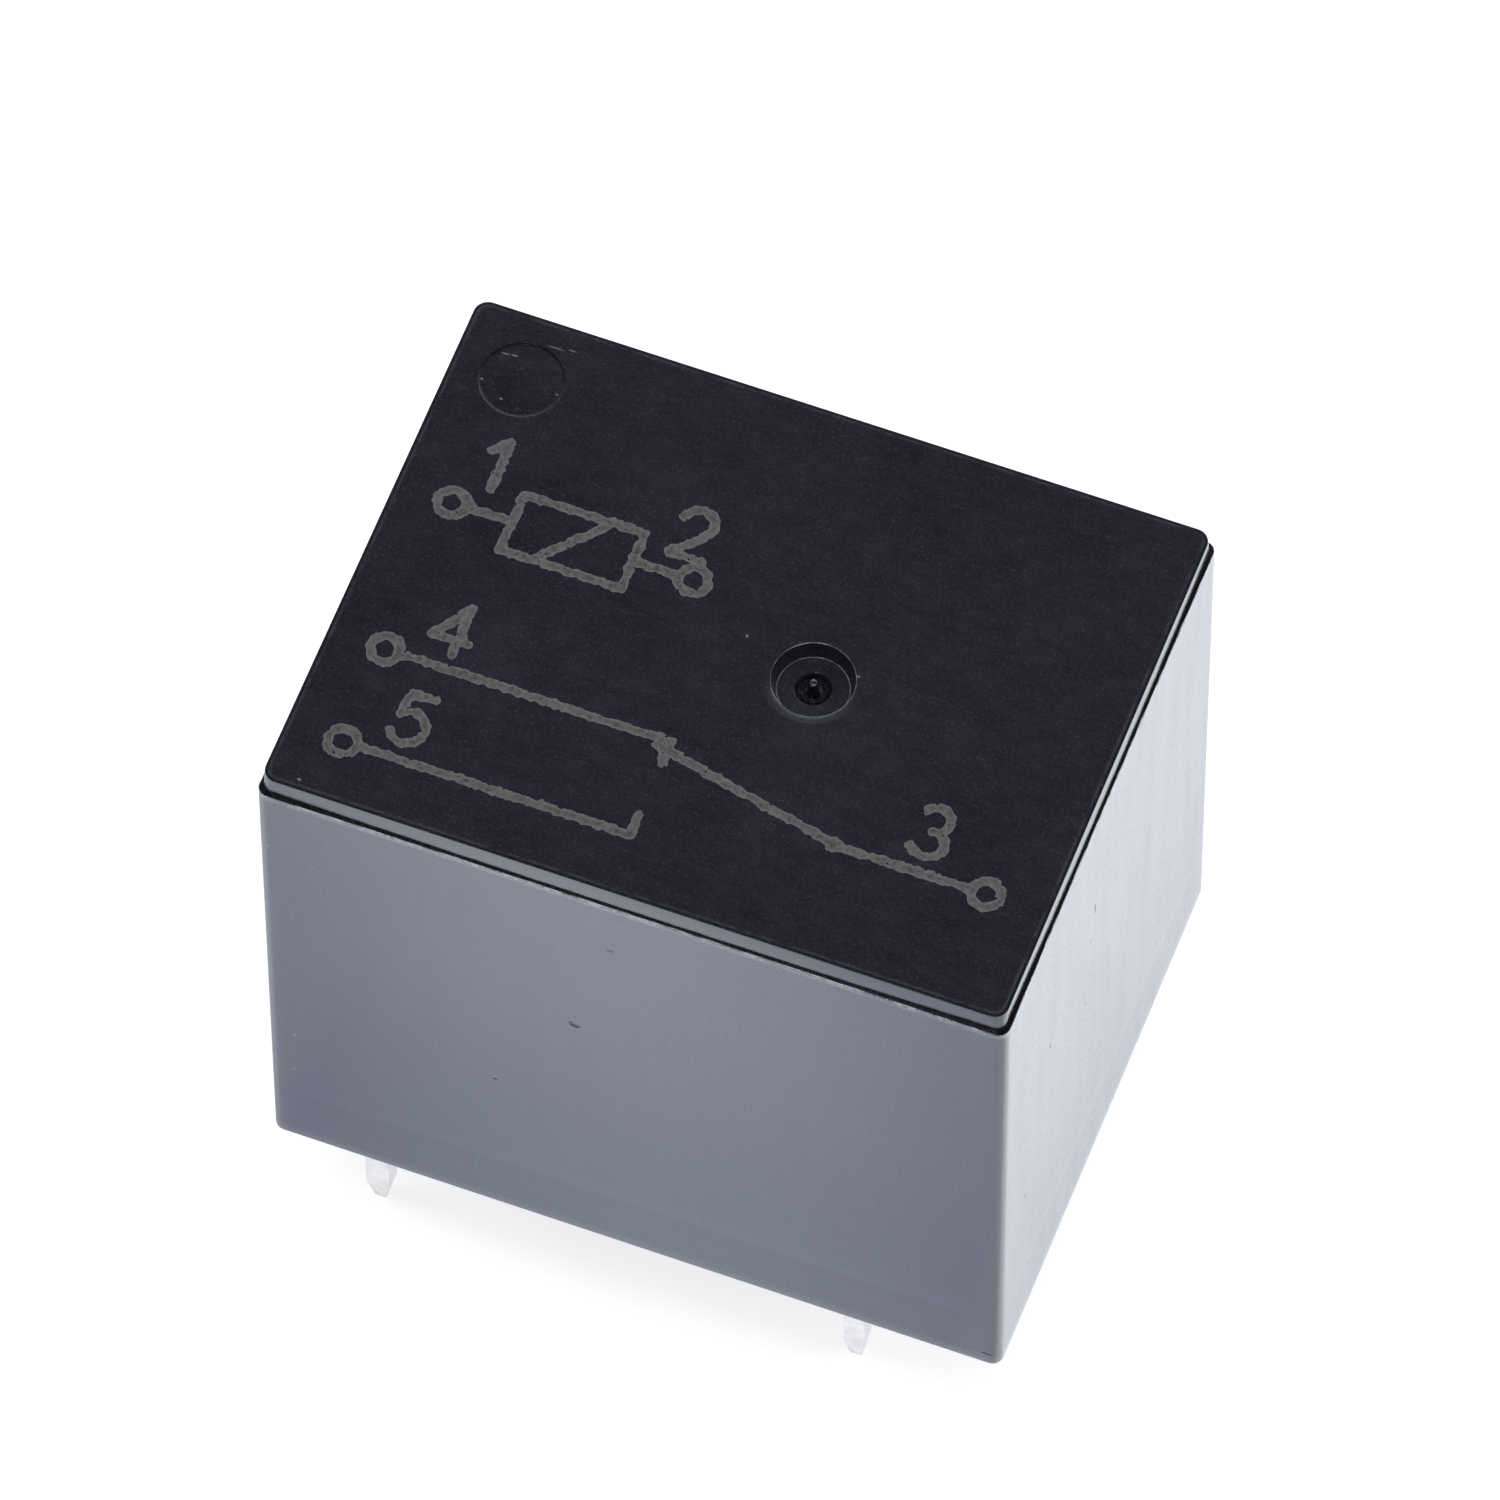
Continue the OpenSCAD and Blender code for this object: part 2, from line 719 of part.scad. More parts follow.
// Leaf spring: heel on the yoke, two hinge strips round the bend, and the leaf on the armature
module contact_spring() {
    window_x = tongue_l + armature_r;
    plan_low = -hinge_drop - heel_h - past;
    plan_high = lift + spring_t + past;
    color("#c98f4e")
        difference() {
            intersection() {
                translate([hinge_x, spring_w / 2, hinge_z])
                    rotate([90, 0, 0])
                        linear_extrude(spring_w)
                            spring_view();
                on_hinge()
                    translate([0, 0, plan_low])
                        linear_extrude(plan_high - plan_low)
                            leaf_plan();
            }
            translate([hinge_x - window_x, -strip_y, hinge_z - hinge_drop])
                cube([window_x + past, 2 * strip_y, hinge_drop + plan_high]);
            on_hinge() {
                translate([-reach, 0, lift - past])
                    cylinder(r = shank_r + rivet_fit, h = spring_t + 2 * past);
                for (y = [-boss_y, boss_y])
                    translate([-armature_boss_x, y, lift - past])
                        cylinder(r = boss_r + rivet_fit, h = spring_t + 2 * past);
            }
            for (y = [-boss_y, boss_y])
                translate([hinge_x - past, y, heel_boss_z])
                    rotate([0, 90, 0])
                        cylinder(r = boss_r + rivet_fit, h = spring_t + 2 * past);
        }
}

// Double-headed contact rivet in the end of the leaf
module moving_contact() {
    color("#d9d7d0")
        on_hinge()
            translate([-reach, 0, lift]) {
                cylinder(r = shank_r, h = spring_t);
                translate([0, 0, spring_t])
                    domed_disc(contact_r, contact_h, dome_h);
                mirror([0, 0, 1])
                    domed_disc(contact_r, contact_h, dome_h);
            }
}

// Side view of a fixed strip: up from the base, round the bend and across to the contact
module strip_view(low) {
    outer_r = strip_r + strip_t;
    outside = pin_y + strip_t / 2;
    high = low + strip_t;
    translate([outside - strip_t, base_top])
        square([strip_t, high - outer_r - base_top]);
    translate([-strip_w, low])
        square([strip_w + outside - outer_r, strip_t]);
    translate([outside - outer_r, high - outer_r])
        intersection() {
            difference() {
                circle(outer_r);
                circle(strip_r);
            }
            square(outer_r);
        }
}

// Fixed contact strip on the +Y side, with its arm at a height and its pin below
module terminal(low) {
    difference() {
        intersection() {
            translate([contact_x - strip_w / 2, 0, 0])
                rotate([90, 0, 90])
                    linear_extrude(strip_w)
                        strip_view(low);
            linear_extrude(low + strip_t + past) {
                translate([contact_x - strip_w / 2, 0])
                    square([strip_w, cover_w / 2]);
                translate([contact_x, 0])
                    circle(strip_w / 2);
            }
        }
        translate([contact_x, 0, low - past])
            cylinder(r = shank_r + rivet_fit, h = strip_t + 2 * past);
    }
    translate([contact_pin_x, pin_y, 0])
        pin(contact_pin_w, strip_t, base_top + strip_t);
}

// Contact rivet with its head upwards, seated on a strip whose upper face is at z = 0
module fixed_contact() {
    broken_disc(contact_r, contact_h, contact_break);
    translate([0, 0, -strip_t])
        cylinder(r = shank_r, h = strip_t);
    translate([0, 0, -strip_t])
        mirror([0, 0, 1])
            domed_disc(tail_r, tail_h, tail_h / 2);
}

// Upper strip, closed on the moving contact at rest
module nc_terminal() {
    color("#c58f5a")
        terminal(nc_low);
}

// Upper contact, facing down
module nc_contact() {
    color("#d9d7d0")
        translate([contact_x, 0, nc_low])
            mirror([0, 0, 1])
                fixed_contact();
}

// Lower strip, on the other side of the relay
module no_terminal() {
    color("#c58f5a")
        mirror([0, 1, 0])
            terminal(no_low);
}

// Lower contact, facing up
module no_contact() {
    color("#d9d7d0")
        translate([contact_x, 0, no_low + strip_t])
            fixed_contact();
}

// Common strip, staked to the back of the yoke, with its pin below
module com_terminal() {
    color("#c58f5a") {
        translate([hinge_x, 0, 0])
            rotate([90, 0, 90])
                linear_extrude(strip_t)
                    difference() {
                        translate([-com_w / 2, base_top])
                            square([com_w, com_top - base_top]);
                        for (y = [-com_boss_y, com_boss_y])
                            translate([y, com_boss_z])
                                circle(boss_r + rivet_fit);
                    }
        translate([com_x, 0, 0])
            pin(strip_t, com_pin_w, base_top + strip_t);
    }
}

cover();
base();
resin_seal();
bobbin();
coil_winding();
mirror([0, 1, 0]) coil_lead();  // coil_lead_a
coil_lead();  // coil_lead_b
mirror([0, 1, 0]) solder();  // solder_a
solder();  // solder_b
mirror([0, 1, 0]) coil_pin();  // coil_pin_a
coil_pin();  // coil_pin_b
core();
yoke();
armature();
contact_spring();
moving_contact();
nc_terminal();
nc_contact();
no_terminal();
no_contact();
com_terminal();
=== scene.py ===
from math import cos, pi, radians, sin

import bmesh
import bpy
import numpy as np
from mathutils import Euler, Matrix, Quaternion, Vector, noise


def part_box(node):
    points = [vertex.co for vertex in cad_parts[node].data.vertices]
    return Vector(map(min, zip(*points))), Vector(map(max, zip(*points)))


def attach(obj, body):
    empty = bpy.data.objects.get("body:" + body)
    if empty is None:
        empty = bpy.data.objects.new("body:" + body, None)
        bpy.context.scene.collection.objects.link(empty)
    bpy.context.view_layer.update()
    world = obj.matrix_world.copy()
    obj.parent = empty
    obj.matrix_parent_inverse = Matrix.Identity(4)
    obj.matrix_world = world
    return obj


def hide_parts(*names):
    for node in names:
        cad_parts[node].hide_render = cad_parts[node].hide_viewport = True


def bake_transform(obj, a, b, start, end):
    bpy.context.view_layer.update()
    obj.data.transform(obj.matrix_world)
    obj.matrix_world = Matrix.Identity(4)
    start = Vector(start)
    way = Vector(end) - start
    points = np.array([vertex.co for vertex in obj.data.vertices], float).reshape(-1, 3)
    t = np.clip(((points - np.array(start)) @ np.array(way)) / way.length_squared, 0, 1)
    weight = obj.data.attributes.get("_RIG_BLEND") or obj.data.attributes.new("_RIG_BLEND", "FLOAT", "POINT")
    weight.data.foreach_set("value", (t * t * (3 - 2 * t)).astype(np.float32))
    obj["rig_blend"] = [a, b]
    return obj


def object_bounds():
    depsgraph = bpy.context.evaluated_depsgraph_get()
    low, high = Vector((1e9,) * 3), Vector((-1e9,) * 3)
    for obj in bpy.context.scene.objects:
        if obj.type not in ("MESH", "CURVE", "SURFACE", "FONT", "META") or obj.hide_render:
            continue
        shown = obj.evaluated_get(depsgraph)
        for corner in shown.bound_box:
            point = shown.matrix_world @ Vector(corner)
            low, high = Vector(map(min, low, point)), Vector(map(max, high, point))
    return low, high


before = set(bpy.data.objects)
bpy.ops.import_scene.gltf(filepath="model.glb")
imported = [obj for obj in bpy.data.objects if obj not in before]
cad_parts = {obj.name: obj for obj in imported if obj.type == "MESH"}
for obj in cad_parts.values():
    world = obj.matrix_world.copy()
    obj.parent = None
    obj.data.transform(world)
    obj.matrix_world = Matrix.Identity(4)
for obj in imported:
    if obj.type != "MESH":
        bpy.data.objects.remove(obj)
cad_low, cad_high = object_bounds()

# Studio and camera
# The relay stands on its five pin tips on a white table. A long lens looks down on it over its front edge.
# Soft lamps stand round it, and the satin walls mirror the table.
mm = 0.001
view_turn, view_rise, view_roll = radians(21.02), radians(59.35), radians(-0.27)
view_point = Vector((-0.63, 2.46, 9.25)) * mm
view_distance = 462.8 * mm
view_lens = 416.4
view_sensor = 36.0

camera_data = bpy.data.cameras.new("studio_camera")
camera_data.lens = view_lens
camera_data.sensor_width = view_sensor
camera_data.clip_start = 0.01
camera_data.clip_end = 20.0
camera = bpy.data.objects.new("studio_camera", camera_data)
bpy.context.scene.collection.objects.link(camera)
aim = Euler((pi / 2 - view_rise, 0.0, view_turn)).to_quaternion() @ Quaternion((0, 0, 1), view_roll)
camera.rotation_mode = "QUATERNION"
camera.rotation_quaternion = aim
camera.location = view_point + aim @ Vector((0, 0, view_distance))
bpy.context.scene.camera = camera
bpy.context.scene.view_settings.view_transform = "Standard"


def wire(tree, kind, inputs=None, **settings):
    """Adds a shader node; an input is a plain value or the output socket that feeds it."""
    node = tree.nodes.new(kind)
    for name, value in settings.items():
        setattr(node, name, value)
    for name, value in (inputs or {}).items():
        if isinstance(value, bpy.types.NodeSocket):
            tree.links.new(value, node.inputs[name])
        else:
            node.inputs[name].default_value = value
    return node


def sums(tree, kind, a, b):
    """Result of one step of arithmetic on two values."""
    return wire(tree, "ShaderNodeMath", {0: a, 1: b}, operation=kind).outputs[0]


def triples(tree, kind, a, b=None):
    """Result of one step of arithmetic on places or colours."""
    inputs = {0: a} if b is None else {0: a, 1: b}
    return wire(tree, "ShaderNodeVectorMath", inputs, operation=kind).outputs["Vector"]


def length_of(tree, a):
    """Distance from the origin to a place."""
    return wire(tree, "ShaderNodeVectorMath", {0: a}, operation="LENGTH").outputs["Value"]


def tinted(tree, amount, colour, over):
    """A colour that changes to another by an amount."""
    return wire(tree, "ShaderNodeMix", {0: amount, 6: colour, 7: over}, data_type="RGBA").outputs[2]


def seen_directly(tree):
    """1 for rays that show a surface as a picture: from the camera, in a gloss or through glass."""
    rays = wire(tree, "ShaderNodeLightPath").outputs
    picture = sums(tree, "MAXIMUM", rays["Is Camera Ray"], rays["Is Glossy Ray"])
    return sums(tree, "MAXIMUM", picture, rays["Is Transmission Ray"])


def shades(tree, value, stops, between="LINEAR"):
    """Colours along a value, as (position, colour) pairs."""
    ramp = wire(tree, "ShaderNodeValToRGB", {"Fac": value})
    ramp.color_ramp.interpolation = between
    points = ramp.color_ramp.elements
    while len(points) < len(stops):
        points.new(0.5)
    for point, (position, colour) in zip(points, stops):
        point.position = position
        point.color = (*colour, 1)
    return ramp.outputs["Color"]


def spread(tree, value, low, high, start=0.3, end=0.7):
    """A value from low to high as another goes from start to end."""
    return wire(tree, "ShaderNodeMapRange", {"Value": value, "From Min": start, "From Max": end,
                                             "To Min": low, "To Max": high}).outputs["Result"]


table_reach = 3.0
table_white = (0.55, 0.55, 0.56, 1)
table_seen = (0.76, 0.765, 0.77, 1)
shade_middle = (-1.5 * mm, 5.0 * mm, 0)
shade_half = (9.5 * mm, 19 * mm, 1)
shade_fade = (2.2, 1, 0)
shade_reach = 14 * mm
shade_tones = [(0.0, (0.50, 0.57, 0.77)), (0.10, (0.61, 0.68, 0.87)), (0.40, (0.69, 0.765, 0.935)),
               (0.67, (0.75, 0.83, 0.97)), (1.0, (0.78, 0.87, 1.0))]
crest_x, crest_y, crest_lean, crest_half = -0.8 * mm, -11 * mm, 0.53, 9 * mm
crest_fade, crest_far = 1.2, {"X": 0.52, "Y": 0.533, "Z": 0.632}
front_zone = (-10.2 * mm, -8.6 * mm)
back_zone, back_tone = (4 * mm, 17 * mm), 0.86
left_zone, left_front, left_loss = (-12.5 * mm, -11 * mm), (-10 * mm, -8.5 * mm), 0.75
right_zone, right_rise = (10.5 * mm, 11.3 * mm), (11.6 * mm, 14.9 * mm)
right_tone, right_gain = (0.939, 0.861, 0.810), (0.117, 0.112, 0.136)
under_half, under_fade = (9.6 * mm, 8.7 * mm), 0.9 * mm
painted_under_white = (0.83, 0.835, 0.87, 1)

table_mesh = bpy.data.meshes.new("table")
table_mesh.from_pydata([(x * table_reach, y * table_reach, cad_low.z) for x, y in
                        ((-1, -1), (1, -1), (1, 1), (-1, 1))], [], [(0, 1, 2, 3)])
table = bpy.data.objects.new("table", table_mesh)
bpy.context.scene.collection.objects.link(table)
paper = bpy.data.materials.new("white_table")
paper.use_nodes = True
tree = paper.node_tree
tree.nodes.clear()
# Painted shadow on the table: its glow is darker and bluer close to the relay, most of all in front and on
# its left, and the relay's walls mirror that
spot = wire(tree, "ShaderNodeTexCoord").outputs["Object"]
off = triples(tree, "ABSOLUTE", triples(tree, "SUBTRACT", spot, shade_middle))
off = triples(tree, "MAXIMUM", triples(tree, "SUBTRACT", off, shade_half), (0, 0, 0))
away = length_of(tree, triples(tree, "MULTIPLY", off, shade_fade))
mirrored = shades(tree, spread(tree, away, 0, 1, 0, shade_reach), shade_tones)
# Painted light in front, lightest along a line that slants to the left; painted shade behind the relay and on
# its left
spot_xyz = wire(tree, "ShaderNodeSeparateXYZ", {0: spot})
spot_x, spot_y = spot_xyz.outputs["X"], spot_xyz.outputs["Y"]
slant = sums(tree, "MULTIPLY", sums(tree, "SUBTRACT", spot_y, crest_y), crest_lean)
beside = sums(tree, "SUBTRACT", sums(tree, "SUBTRACT", spot_x, crest_x), slant)
beside = sums(tree, "DIVIDE", beside, crest_half)
beside = sums(tree, "MULTIPLY", beside, beside)
in_front = spread(tree, spot_y, 1, 0, *front_zone)
at_left = sums(tree, "MULTIPLY", spread(tree, spot_x, left_loss, 0, *left_zone),
               spread(tree, spot_y, 0, 1, *left_front))
fall_off = sums(tree, "SUBTRACT", spread(tree, spot_y, 1, back_tone, *back_zone), at_left)
share = wire(tree, "ShaderNodeCombineXYZ")
for channel, far_tone in crest_far.items():
    crest = spread(tree, beside, 1, far_tone, 0, crest_fade)
    crest = wire(tree, "ShaderNodeMix", {0: in_front, 2: 1.0, 3: crest}).outputs[0]
    tree.links.new(sums(tree, "MULTIPLY", crest, fall_off), share.inputs[channel])
mirrored = triples(tree, "MULTIPLY", mirrored, share.outputs[0])
# Painted warm light: to the right the glow is less blue, most of all close by
to_right = spread(tree, spot_x, 0, 1, *right_rise)
gain = wire(tree, "ShaderNodeVectorMath", {0: right_gain, "Scale": to_right},
            operation="SCALE").outputs["Vector"]
warmer = triples(tree, "MULTIPLY", mirrored, triples(tree, "ADD", gain, right_tone))
mirrored = tinted(tree, spread(tree, spot_x, 0, 1, *right_zone), mirrored, warmer)
# Painted light right under the relay: the glow there is a clear white, which the pins mirror
beyond = [sums(tree, "SUBTRACT", sums(tree, "ABSOLUTE", place, 0), half)
          for place, half in zip((spot_x, spot_y), under_half)]
under = sums(tree, "MAXIMUM", *beyond)
mirrored = tinted(tree, spread(tree, under, 1, 0, 0, under_fade), mirrored, painted_under_white)
to_camera = wire(tree, "ShaderNodeLightPath").outputs["Is Camera Ray"]
matt = wire(tree, "ShaderNodeBsdfDiffuse", {"Color": table_white})
glow = wire(tree, "ShaderNodeEmission", {"Color": tinted(tree, to_camera, mirrored, table_seen),
                                         "Strength": seen_directly(tree)})
both = wire(tree, "ShaderNodeAddShader", {0: matt.outputs[0], 1: glow.outputs[0]})
wire(tree, "ShaderNodeOutputMaterial", {"Surface": both.outputs[0]})
table_mesh.materials.append(paper)

# The room is white for the camera. What the gloss mirrors of it is a pale backdrop behind the relay, and dark
# overhead and on the camera's side.
backdrop_way = (-0.10, 0.94, -0.33)
backdrop_tones = [(0.20, (0.045, 0.045, 0.062)), (0.80, (0.88, 0.93, 1.0))]
fill_colour, fill_strength = (0.96, 0.98, 1.0, 1), 0.3
room = bpy.data.worlds.new("studio_room")
bpy.context.scene.world = room
room.use_nodes = True
tree = room.node_tree
tree.nodes.clear()
rays = wire(tree, "ShaderNodeLightPath").outputs
way = wire(tree, "ShaderNodeTexCoord").outputs["Generated"]
toward_backdrop = wire(tree, "ShaderNodeVectorMath", {0: way, 1: backdrop_way},
                       operation="DOT_PRODUCT").outputs["Value"]
soft_fill = wire(tree, "ShaderNodeBackground", {"Color": fill_colour, "Strength": fill_strength})
mirrored = wire(tree, "ShaderNodeBackground",
                {"Color": shades(tree, toward_backdrop, backdrop_tones, "EASE")})
white = wire(tree, "ShaderNodeBackground", {"Color": (1, 1, 1, 1)})
gloss_or_fill = wire(tree, "ShaderNodeMixShader", {0: rays["Is Glossy Ray"], 1: soft_fill.outputs[0],
                                                   2: mirrored.outputs[0]})
shown = wire(tree, "ShaderNodeMixShader", {0: rays["Is Camera Ray"], 1: gloss_or_fill.outputs[0],
                                           2: white.outputs[0]})
wire(tree, "ShaderNodeOutputWorld", {"Surface": shown.outputs[0]})

lamps = (
    # name, place, side of the lamp, power, whether the gloss mirrors it
    ("lamp_overhead", (0.02, 0.06, 0.95), 0.90, 4.6, False),
    ("lamp_left", (-0.75, -0.10, 0.50), 0.45, 1.8, False),
    ("lamp_right", (0.72, 0.12, 0.50), 0.45, 1.8, False),
    ("lamp_spark", (-0.06, -0.26, 0.90), 0.16, 0.5, True),
)
for name, place, side, power, mirrored_in_gloss in lamps:
    lamp_data = bpy.data.lights.new(name, "AREA")
    lamp_data.shape = "SQUARE"
    lamp_data.size = side
    lamp_data.energy = power
    lamp_data.color = (0.97, 0.985, 1.0)
    lamp = bpy.data.objects.new(name, lamp_data)
    lamp.location = place
    lamp.rotation_euler = (-Vector(place)).to_track_quat("-Z", "Y").to_euler()
    lamp.visible_glossy = mirrored_in_gloss
    bpy.context.scene.collection.objects.link(lamp)

# Base plate
# A moulded plate of glass-filled black plastic that closes the cover's mouth. Its barrier stands between the
# coil and the contacts, and its posts and ribs hold the strips and the yoke in place.


def finish_named(name, **values):
    """A new material; the values are set on its shader's own sockets."""
    made = bpy.data.materials.new(name)
    made.use_nodes = True
    shader = made.node_tree.nodes["Principled BSDF"]
    for socket, value in values.items():
        shader.inputs[socket.replace("_", " ")].default_value = value
    return made, made.node_tree, shader


def in_mm(tree, stretch=(1, 1, 1), turn=(0, 0, 0)):
    """Surface coordinates in millimetres, stretched along the object's axes."""
    place = wire(tree, "ShaderNodeTexCoord")
    scaled = wire(tree, "ShaderNodeMapping", {"Vector": place.outputs["Object"], "Rotation": turn,
                                              "Scale": [s / mm for s in stretch]})
    return scaled.outputs["Vector"]


def grain(tree, place, scale, detail=3.0, rough=0.55):
    """Value of a noise with so many lumps in a millimetre."""
    return wire(tree, "ShaderNodeTexNoise", {"Vector": place, "Scale": scale, "Detail": detail,
                                             "Roughness": rough}).outputs["Fac"]


def raise_skin(tree, shader, height, depth, strength=1.0):
    """Bump of a given depth in metres on a shader's surface."""
    bump = wire(tree, "ShaderNodeBump", {"Height": height, "Distance": depth, "Strength": strength})
    for layer in ("Normal", "Coat Normal"):
        tree.links.new(bump.outputs["Normal"], shader.inputs[layer])


def dress(finish, *names):
    """Gives solids of the frame their finish."""
    for name in names:
        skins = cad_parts[name].data.materials
        skins.clear()
        skins.append(finish)


base_plastic, tree, shader = finish_named("base_plastic", IOR=1.55)
place = in_mm(tree)
lumps = grain(tree, place, 1.1, 4.0)
pores = grain(tree, place, 16.0, 2.0)
tree.links.new(shades(tree, lumps, [(0.3, (0.014, 0.014, 0.016)), (0.7, (0.026, 0.026, 0.029))]),
               shader.inputs["Base Color"])
tree.links.new(spread(tree, pores, 0.42, 0.62), shader.inputs["Roughness"])
raise_skin(tree, shader, pores, 0.006 * mm, 0.6)
dress(base_plastic, "base")

# Fixed contact strips and common strip
# Blanked from rolled copper alloy, bent, and dipped in tin. Their lower ends are the outer pins, pressed
# through the slots of the base; the strips' rivet holes are punched before bending.


def put(name, mesh, finish, body, slot, *stands_for):
    """Links a mesh as a piece on a body, for the solids it stands for."""
    piece = bpy.data.objects.new(name, mesh)
    bpy.context.scene.collection.objects.link(piece)
    mesh.materials.append(finish)
    if body:
        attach(piece, body)
    if stands_for:
        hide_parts(*stands_for)
    return piece


def evened(name, mesh, edge_width=0.0):
    """The mesh shaded smooth with its large faces kept flat, and its hard edges rounded to a width."""
    mesh.shade_smooth()
    maker = bpy.data.objects.new(name + "_maker", mesh)
    bpy.context.scene.collection.objects.link(maker)
    if edge_width:
        edge = maker.modifiers.new("edge", "BEVEL")
        edge.width = edge_width
        edge.segments = 2
        edge.limit_method = "ANGLE"
        edge.angle_limit = radians(30)
    maker.modifiers.new("even", "WEIGHTED_NORMAL").weight = 100
    depsgraph = bpy.context.evaluated_depsgraph_get()
    made = bpy.data.meshes.new_from_object(maker.evaluated_get(depsgraph))
    made.name = name
    bpy.data.objects.remove(maker)
    return made


def softened(name, node, edge_width):
    """A copy of a solid's mesh with its hard edges rounded."""
    solid = bmesh.new()
    solid.from_mesh(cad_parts[node].data)
    bmesh.ops.remove_doubles(solid, verts=solid.verts, dist=0.0005 * mm)
    bmesh.ops.dissolve_limit(solid, angle_limit=radians(0.5), verts=solid.verts, edges=solid.edges)
    mesh = bpy.data.meshes.new(name)
    solid.to_mesh(mesh)
    solid.free()
    return evened(name, mesh, edge_width)


def tinned(name, tone, roll):
    """Dull tin on a rolled strip; roll stretches the rolling marks along one axis."""
    made, tree, shader = finish_named(name, Metallic=1.0)
    along = grain(tree, in_mm(tree, roll), 5.0, 3.0)
    bloom = grain(tree, in_mm(tree), 1.6, 5.0, 0.6)
    dull = [part * 0.78 for part in tone]
    tree.links.new(shades(tree, bloom, [(0.32, dull), (0.66, tone)]), shader.inputs["Base Color"])
    both = sums(tree, "ADD", along, bloom)
    tree.links.new(spread(tree, both, 0.24, 0.46, 0.7, 1.3), shader.inputs["Roughness"])
    raise_skin(tree, shader, along, 0.003 * mm, 0.5)
    return made


tinned_copper = tinned("tinned_copper", (0.84, 0.835, 0.82), (3.0, 3.0, 0.3))
for name, node in (("closed_strip", "nc_terminal"), ("open_strip", "no_terminal"),
                   ("common_strip", "com_terminal")):
    put(name, softened(name, node, 0.05 * mm), tinned_copper, "frame", "tinned_copper", node)

# Contacts
# Silver-alloy rivets, cold-headed and staked into the two fixed strips and into the end of the spring. Their
# faces are lightly burnished, with a yellowish bloom of tarnish.
contact_silver, tree, shader = finish_named("contact_silver", Metallic=1.0)
place = in_mm(tree)
bloom = grain(tree, place, 0.9, 5.0, 0.6)
pressed = grain(tree, place, 9.0, 3.0)
tree.links.new(shades(tree, bloom, [(0.34, (0.62, 0.57, 0.48)), (0.5, (0.84, 0.81, 0.75)),
                                    (0.68, (0.90, 0.89, 0.86))]), shader.inputs["Base Color"])
tree.links.new(spread(tree, pressed, 0.22, 0.42), shader.inputs["Roughness"])
raise_skin(tree, shader, pressed, 0.004 * mm, 0.5)
dress(contact_silver, "nc_contact", "no_contact", "moving_contact")

# Yoke, core and armature
# Soft iron: the yoke is a bent strip, the core is turned and staked into its foot, and the armature is a
# blanked plate. All are barrel-plated with dull nickel.
plated_iron, tree, shader = finish_named("plated_iron", Metallic=1.0)
rolled = grain(tree, in_mm(tree, (0.25, 3.0, 3.0)), 4.0, 3.0)
tumbled = grain(tree, in_mm(tree), 3.2, 5.0, 0.62)
tree.links.new(shades(tree, tumbled, [(0.3, (0.40, 0.39, 0.37)), (0.7, (0.60, 0.585, 0.55))]),
               shader.inputs["Base Color"])
both = sums(tree, "ADD", rolled, tumbled)
tree.links.new(spread(tree, both, 0.28, 0.5, 0.7, 1.3), shader.inputs["Roughness"])
raise_skin(tree, shader, both, 0.004 * mm, 0.5)
for name, node, body in (("bent_yoke", "yoke", "frame"), ("turned_core", "core", "frame"),
                         ("armature_plate", "armature", "armature")):
    put(name, softened(name, node, 0.06 * mm), plated_iron, body, "plated_iron", node)

# Coil former
# Moulded from natural nylon: two flanges on a tube, and two lugs that the coil pins are pressed into. It sits
# on the core and holds the winding.
bobbin_nylon, tree, shader = finish_named("bobbin_nylon", IOR=1.53, Subsurface_Weight=0.25,
                                          Subsurface_Scale=0.4 * mm)
flow = grain(tree, in_mm(tree, (0.5, 0.5, 1.6)), 0.8, 4.0)
pores = grain(tree, in_mm(tree), 12.0, 2.0)
tree.links.new(shades(tree, flow, [(0.3, (0.70, 0.66, 0.55)), (0.7, (0.80, 0.77, 0.68))]),
               shader.inputs["Base Color"])
tree.links.new(spread(tree, pores, 0.34, 0.5), shader.inputs["Roughness"])
raise_skin(tree, shader, pores, 0.005 * mm, 0.5)
put("coil_former", softened("coil_former", "bobbin", 0.08 * mm), bobbin_nylon, "frame", "bobbin_nylon",
    "bobbin")

# Winding and its leads
# Enamelled copper wire, wound turn by turn between the flanges. Each end leaves the outermost layer along a
# tangent and runs to its pin.
winding_low, winding_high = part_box("coil_winding")
winding_r = (winding_high.x - winding_low.x) / 2
winding_x = (winding_high.x + winding_low.x) / 2
winding_h = winding_high.z - winding_low.z
turns = 27
ridge_share = 0.42
round_steps = 96
ridge_steps = 6
tube_r = 2.65 * mm


def lathed(name, outline, steps):
    """A closed ring whose outline(angle) gives the same number of (radius, height) points at each angle."""
    points, faces = [], []
    for i in range(steps):
        a = 2 * pi * i / steps
        ring = outline(a)
        count = len(ring)
        points += [(r * cos(a), r * sin(a), z) for r, z in ring]
        for k in range(count):
            n, far = (k + 1) % count, ((i + 1) % steps) * count
            faces.append((i * count + k, far + k, far + n, i * count + n))
    mesh = bpy.data.meshes.new(name)
    mesh.from_pydata(points, [], faces)
    mesh.shade_smooth()
    return mesh


def wire_layer(angle):
    """Outline of the winding at an angle: the round backs of the turns, climbing one pitch in a turn."""
    pitch = winding_h / turns
    outline = [(tube_r, 0.0)]
    for k in range(turns * ridge_steps + 1):
        z = winding_h * k / (turns * ridge_steps)
        phase = (z / pitch - angle / (2 * pi)) % 1.0
        bulge = (1 - (2 * phase - 1) ** 2) ** 0.5
        outline.append((winding_r - ridge_share * pitch * (1 - bulge), z))
    return outline + [(tube_r, winding_h)]


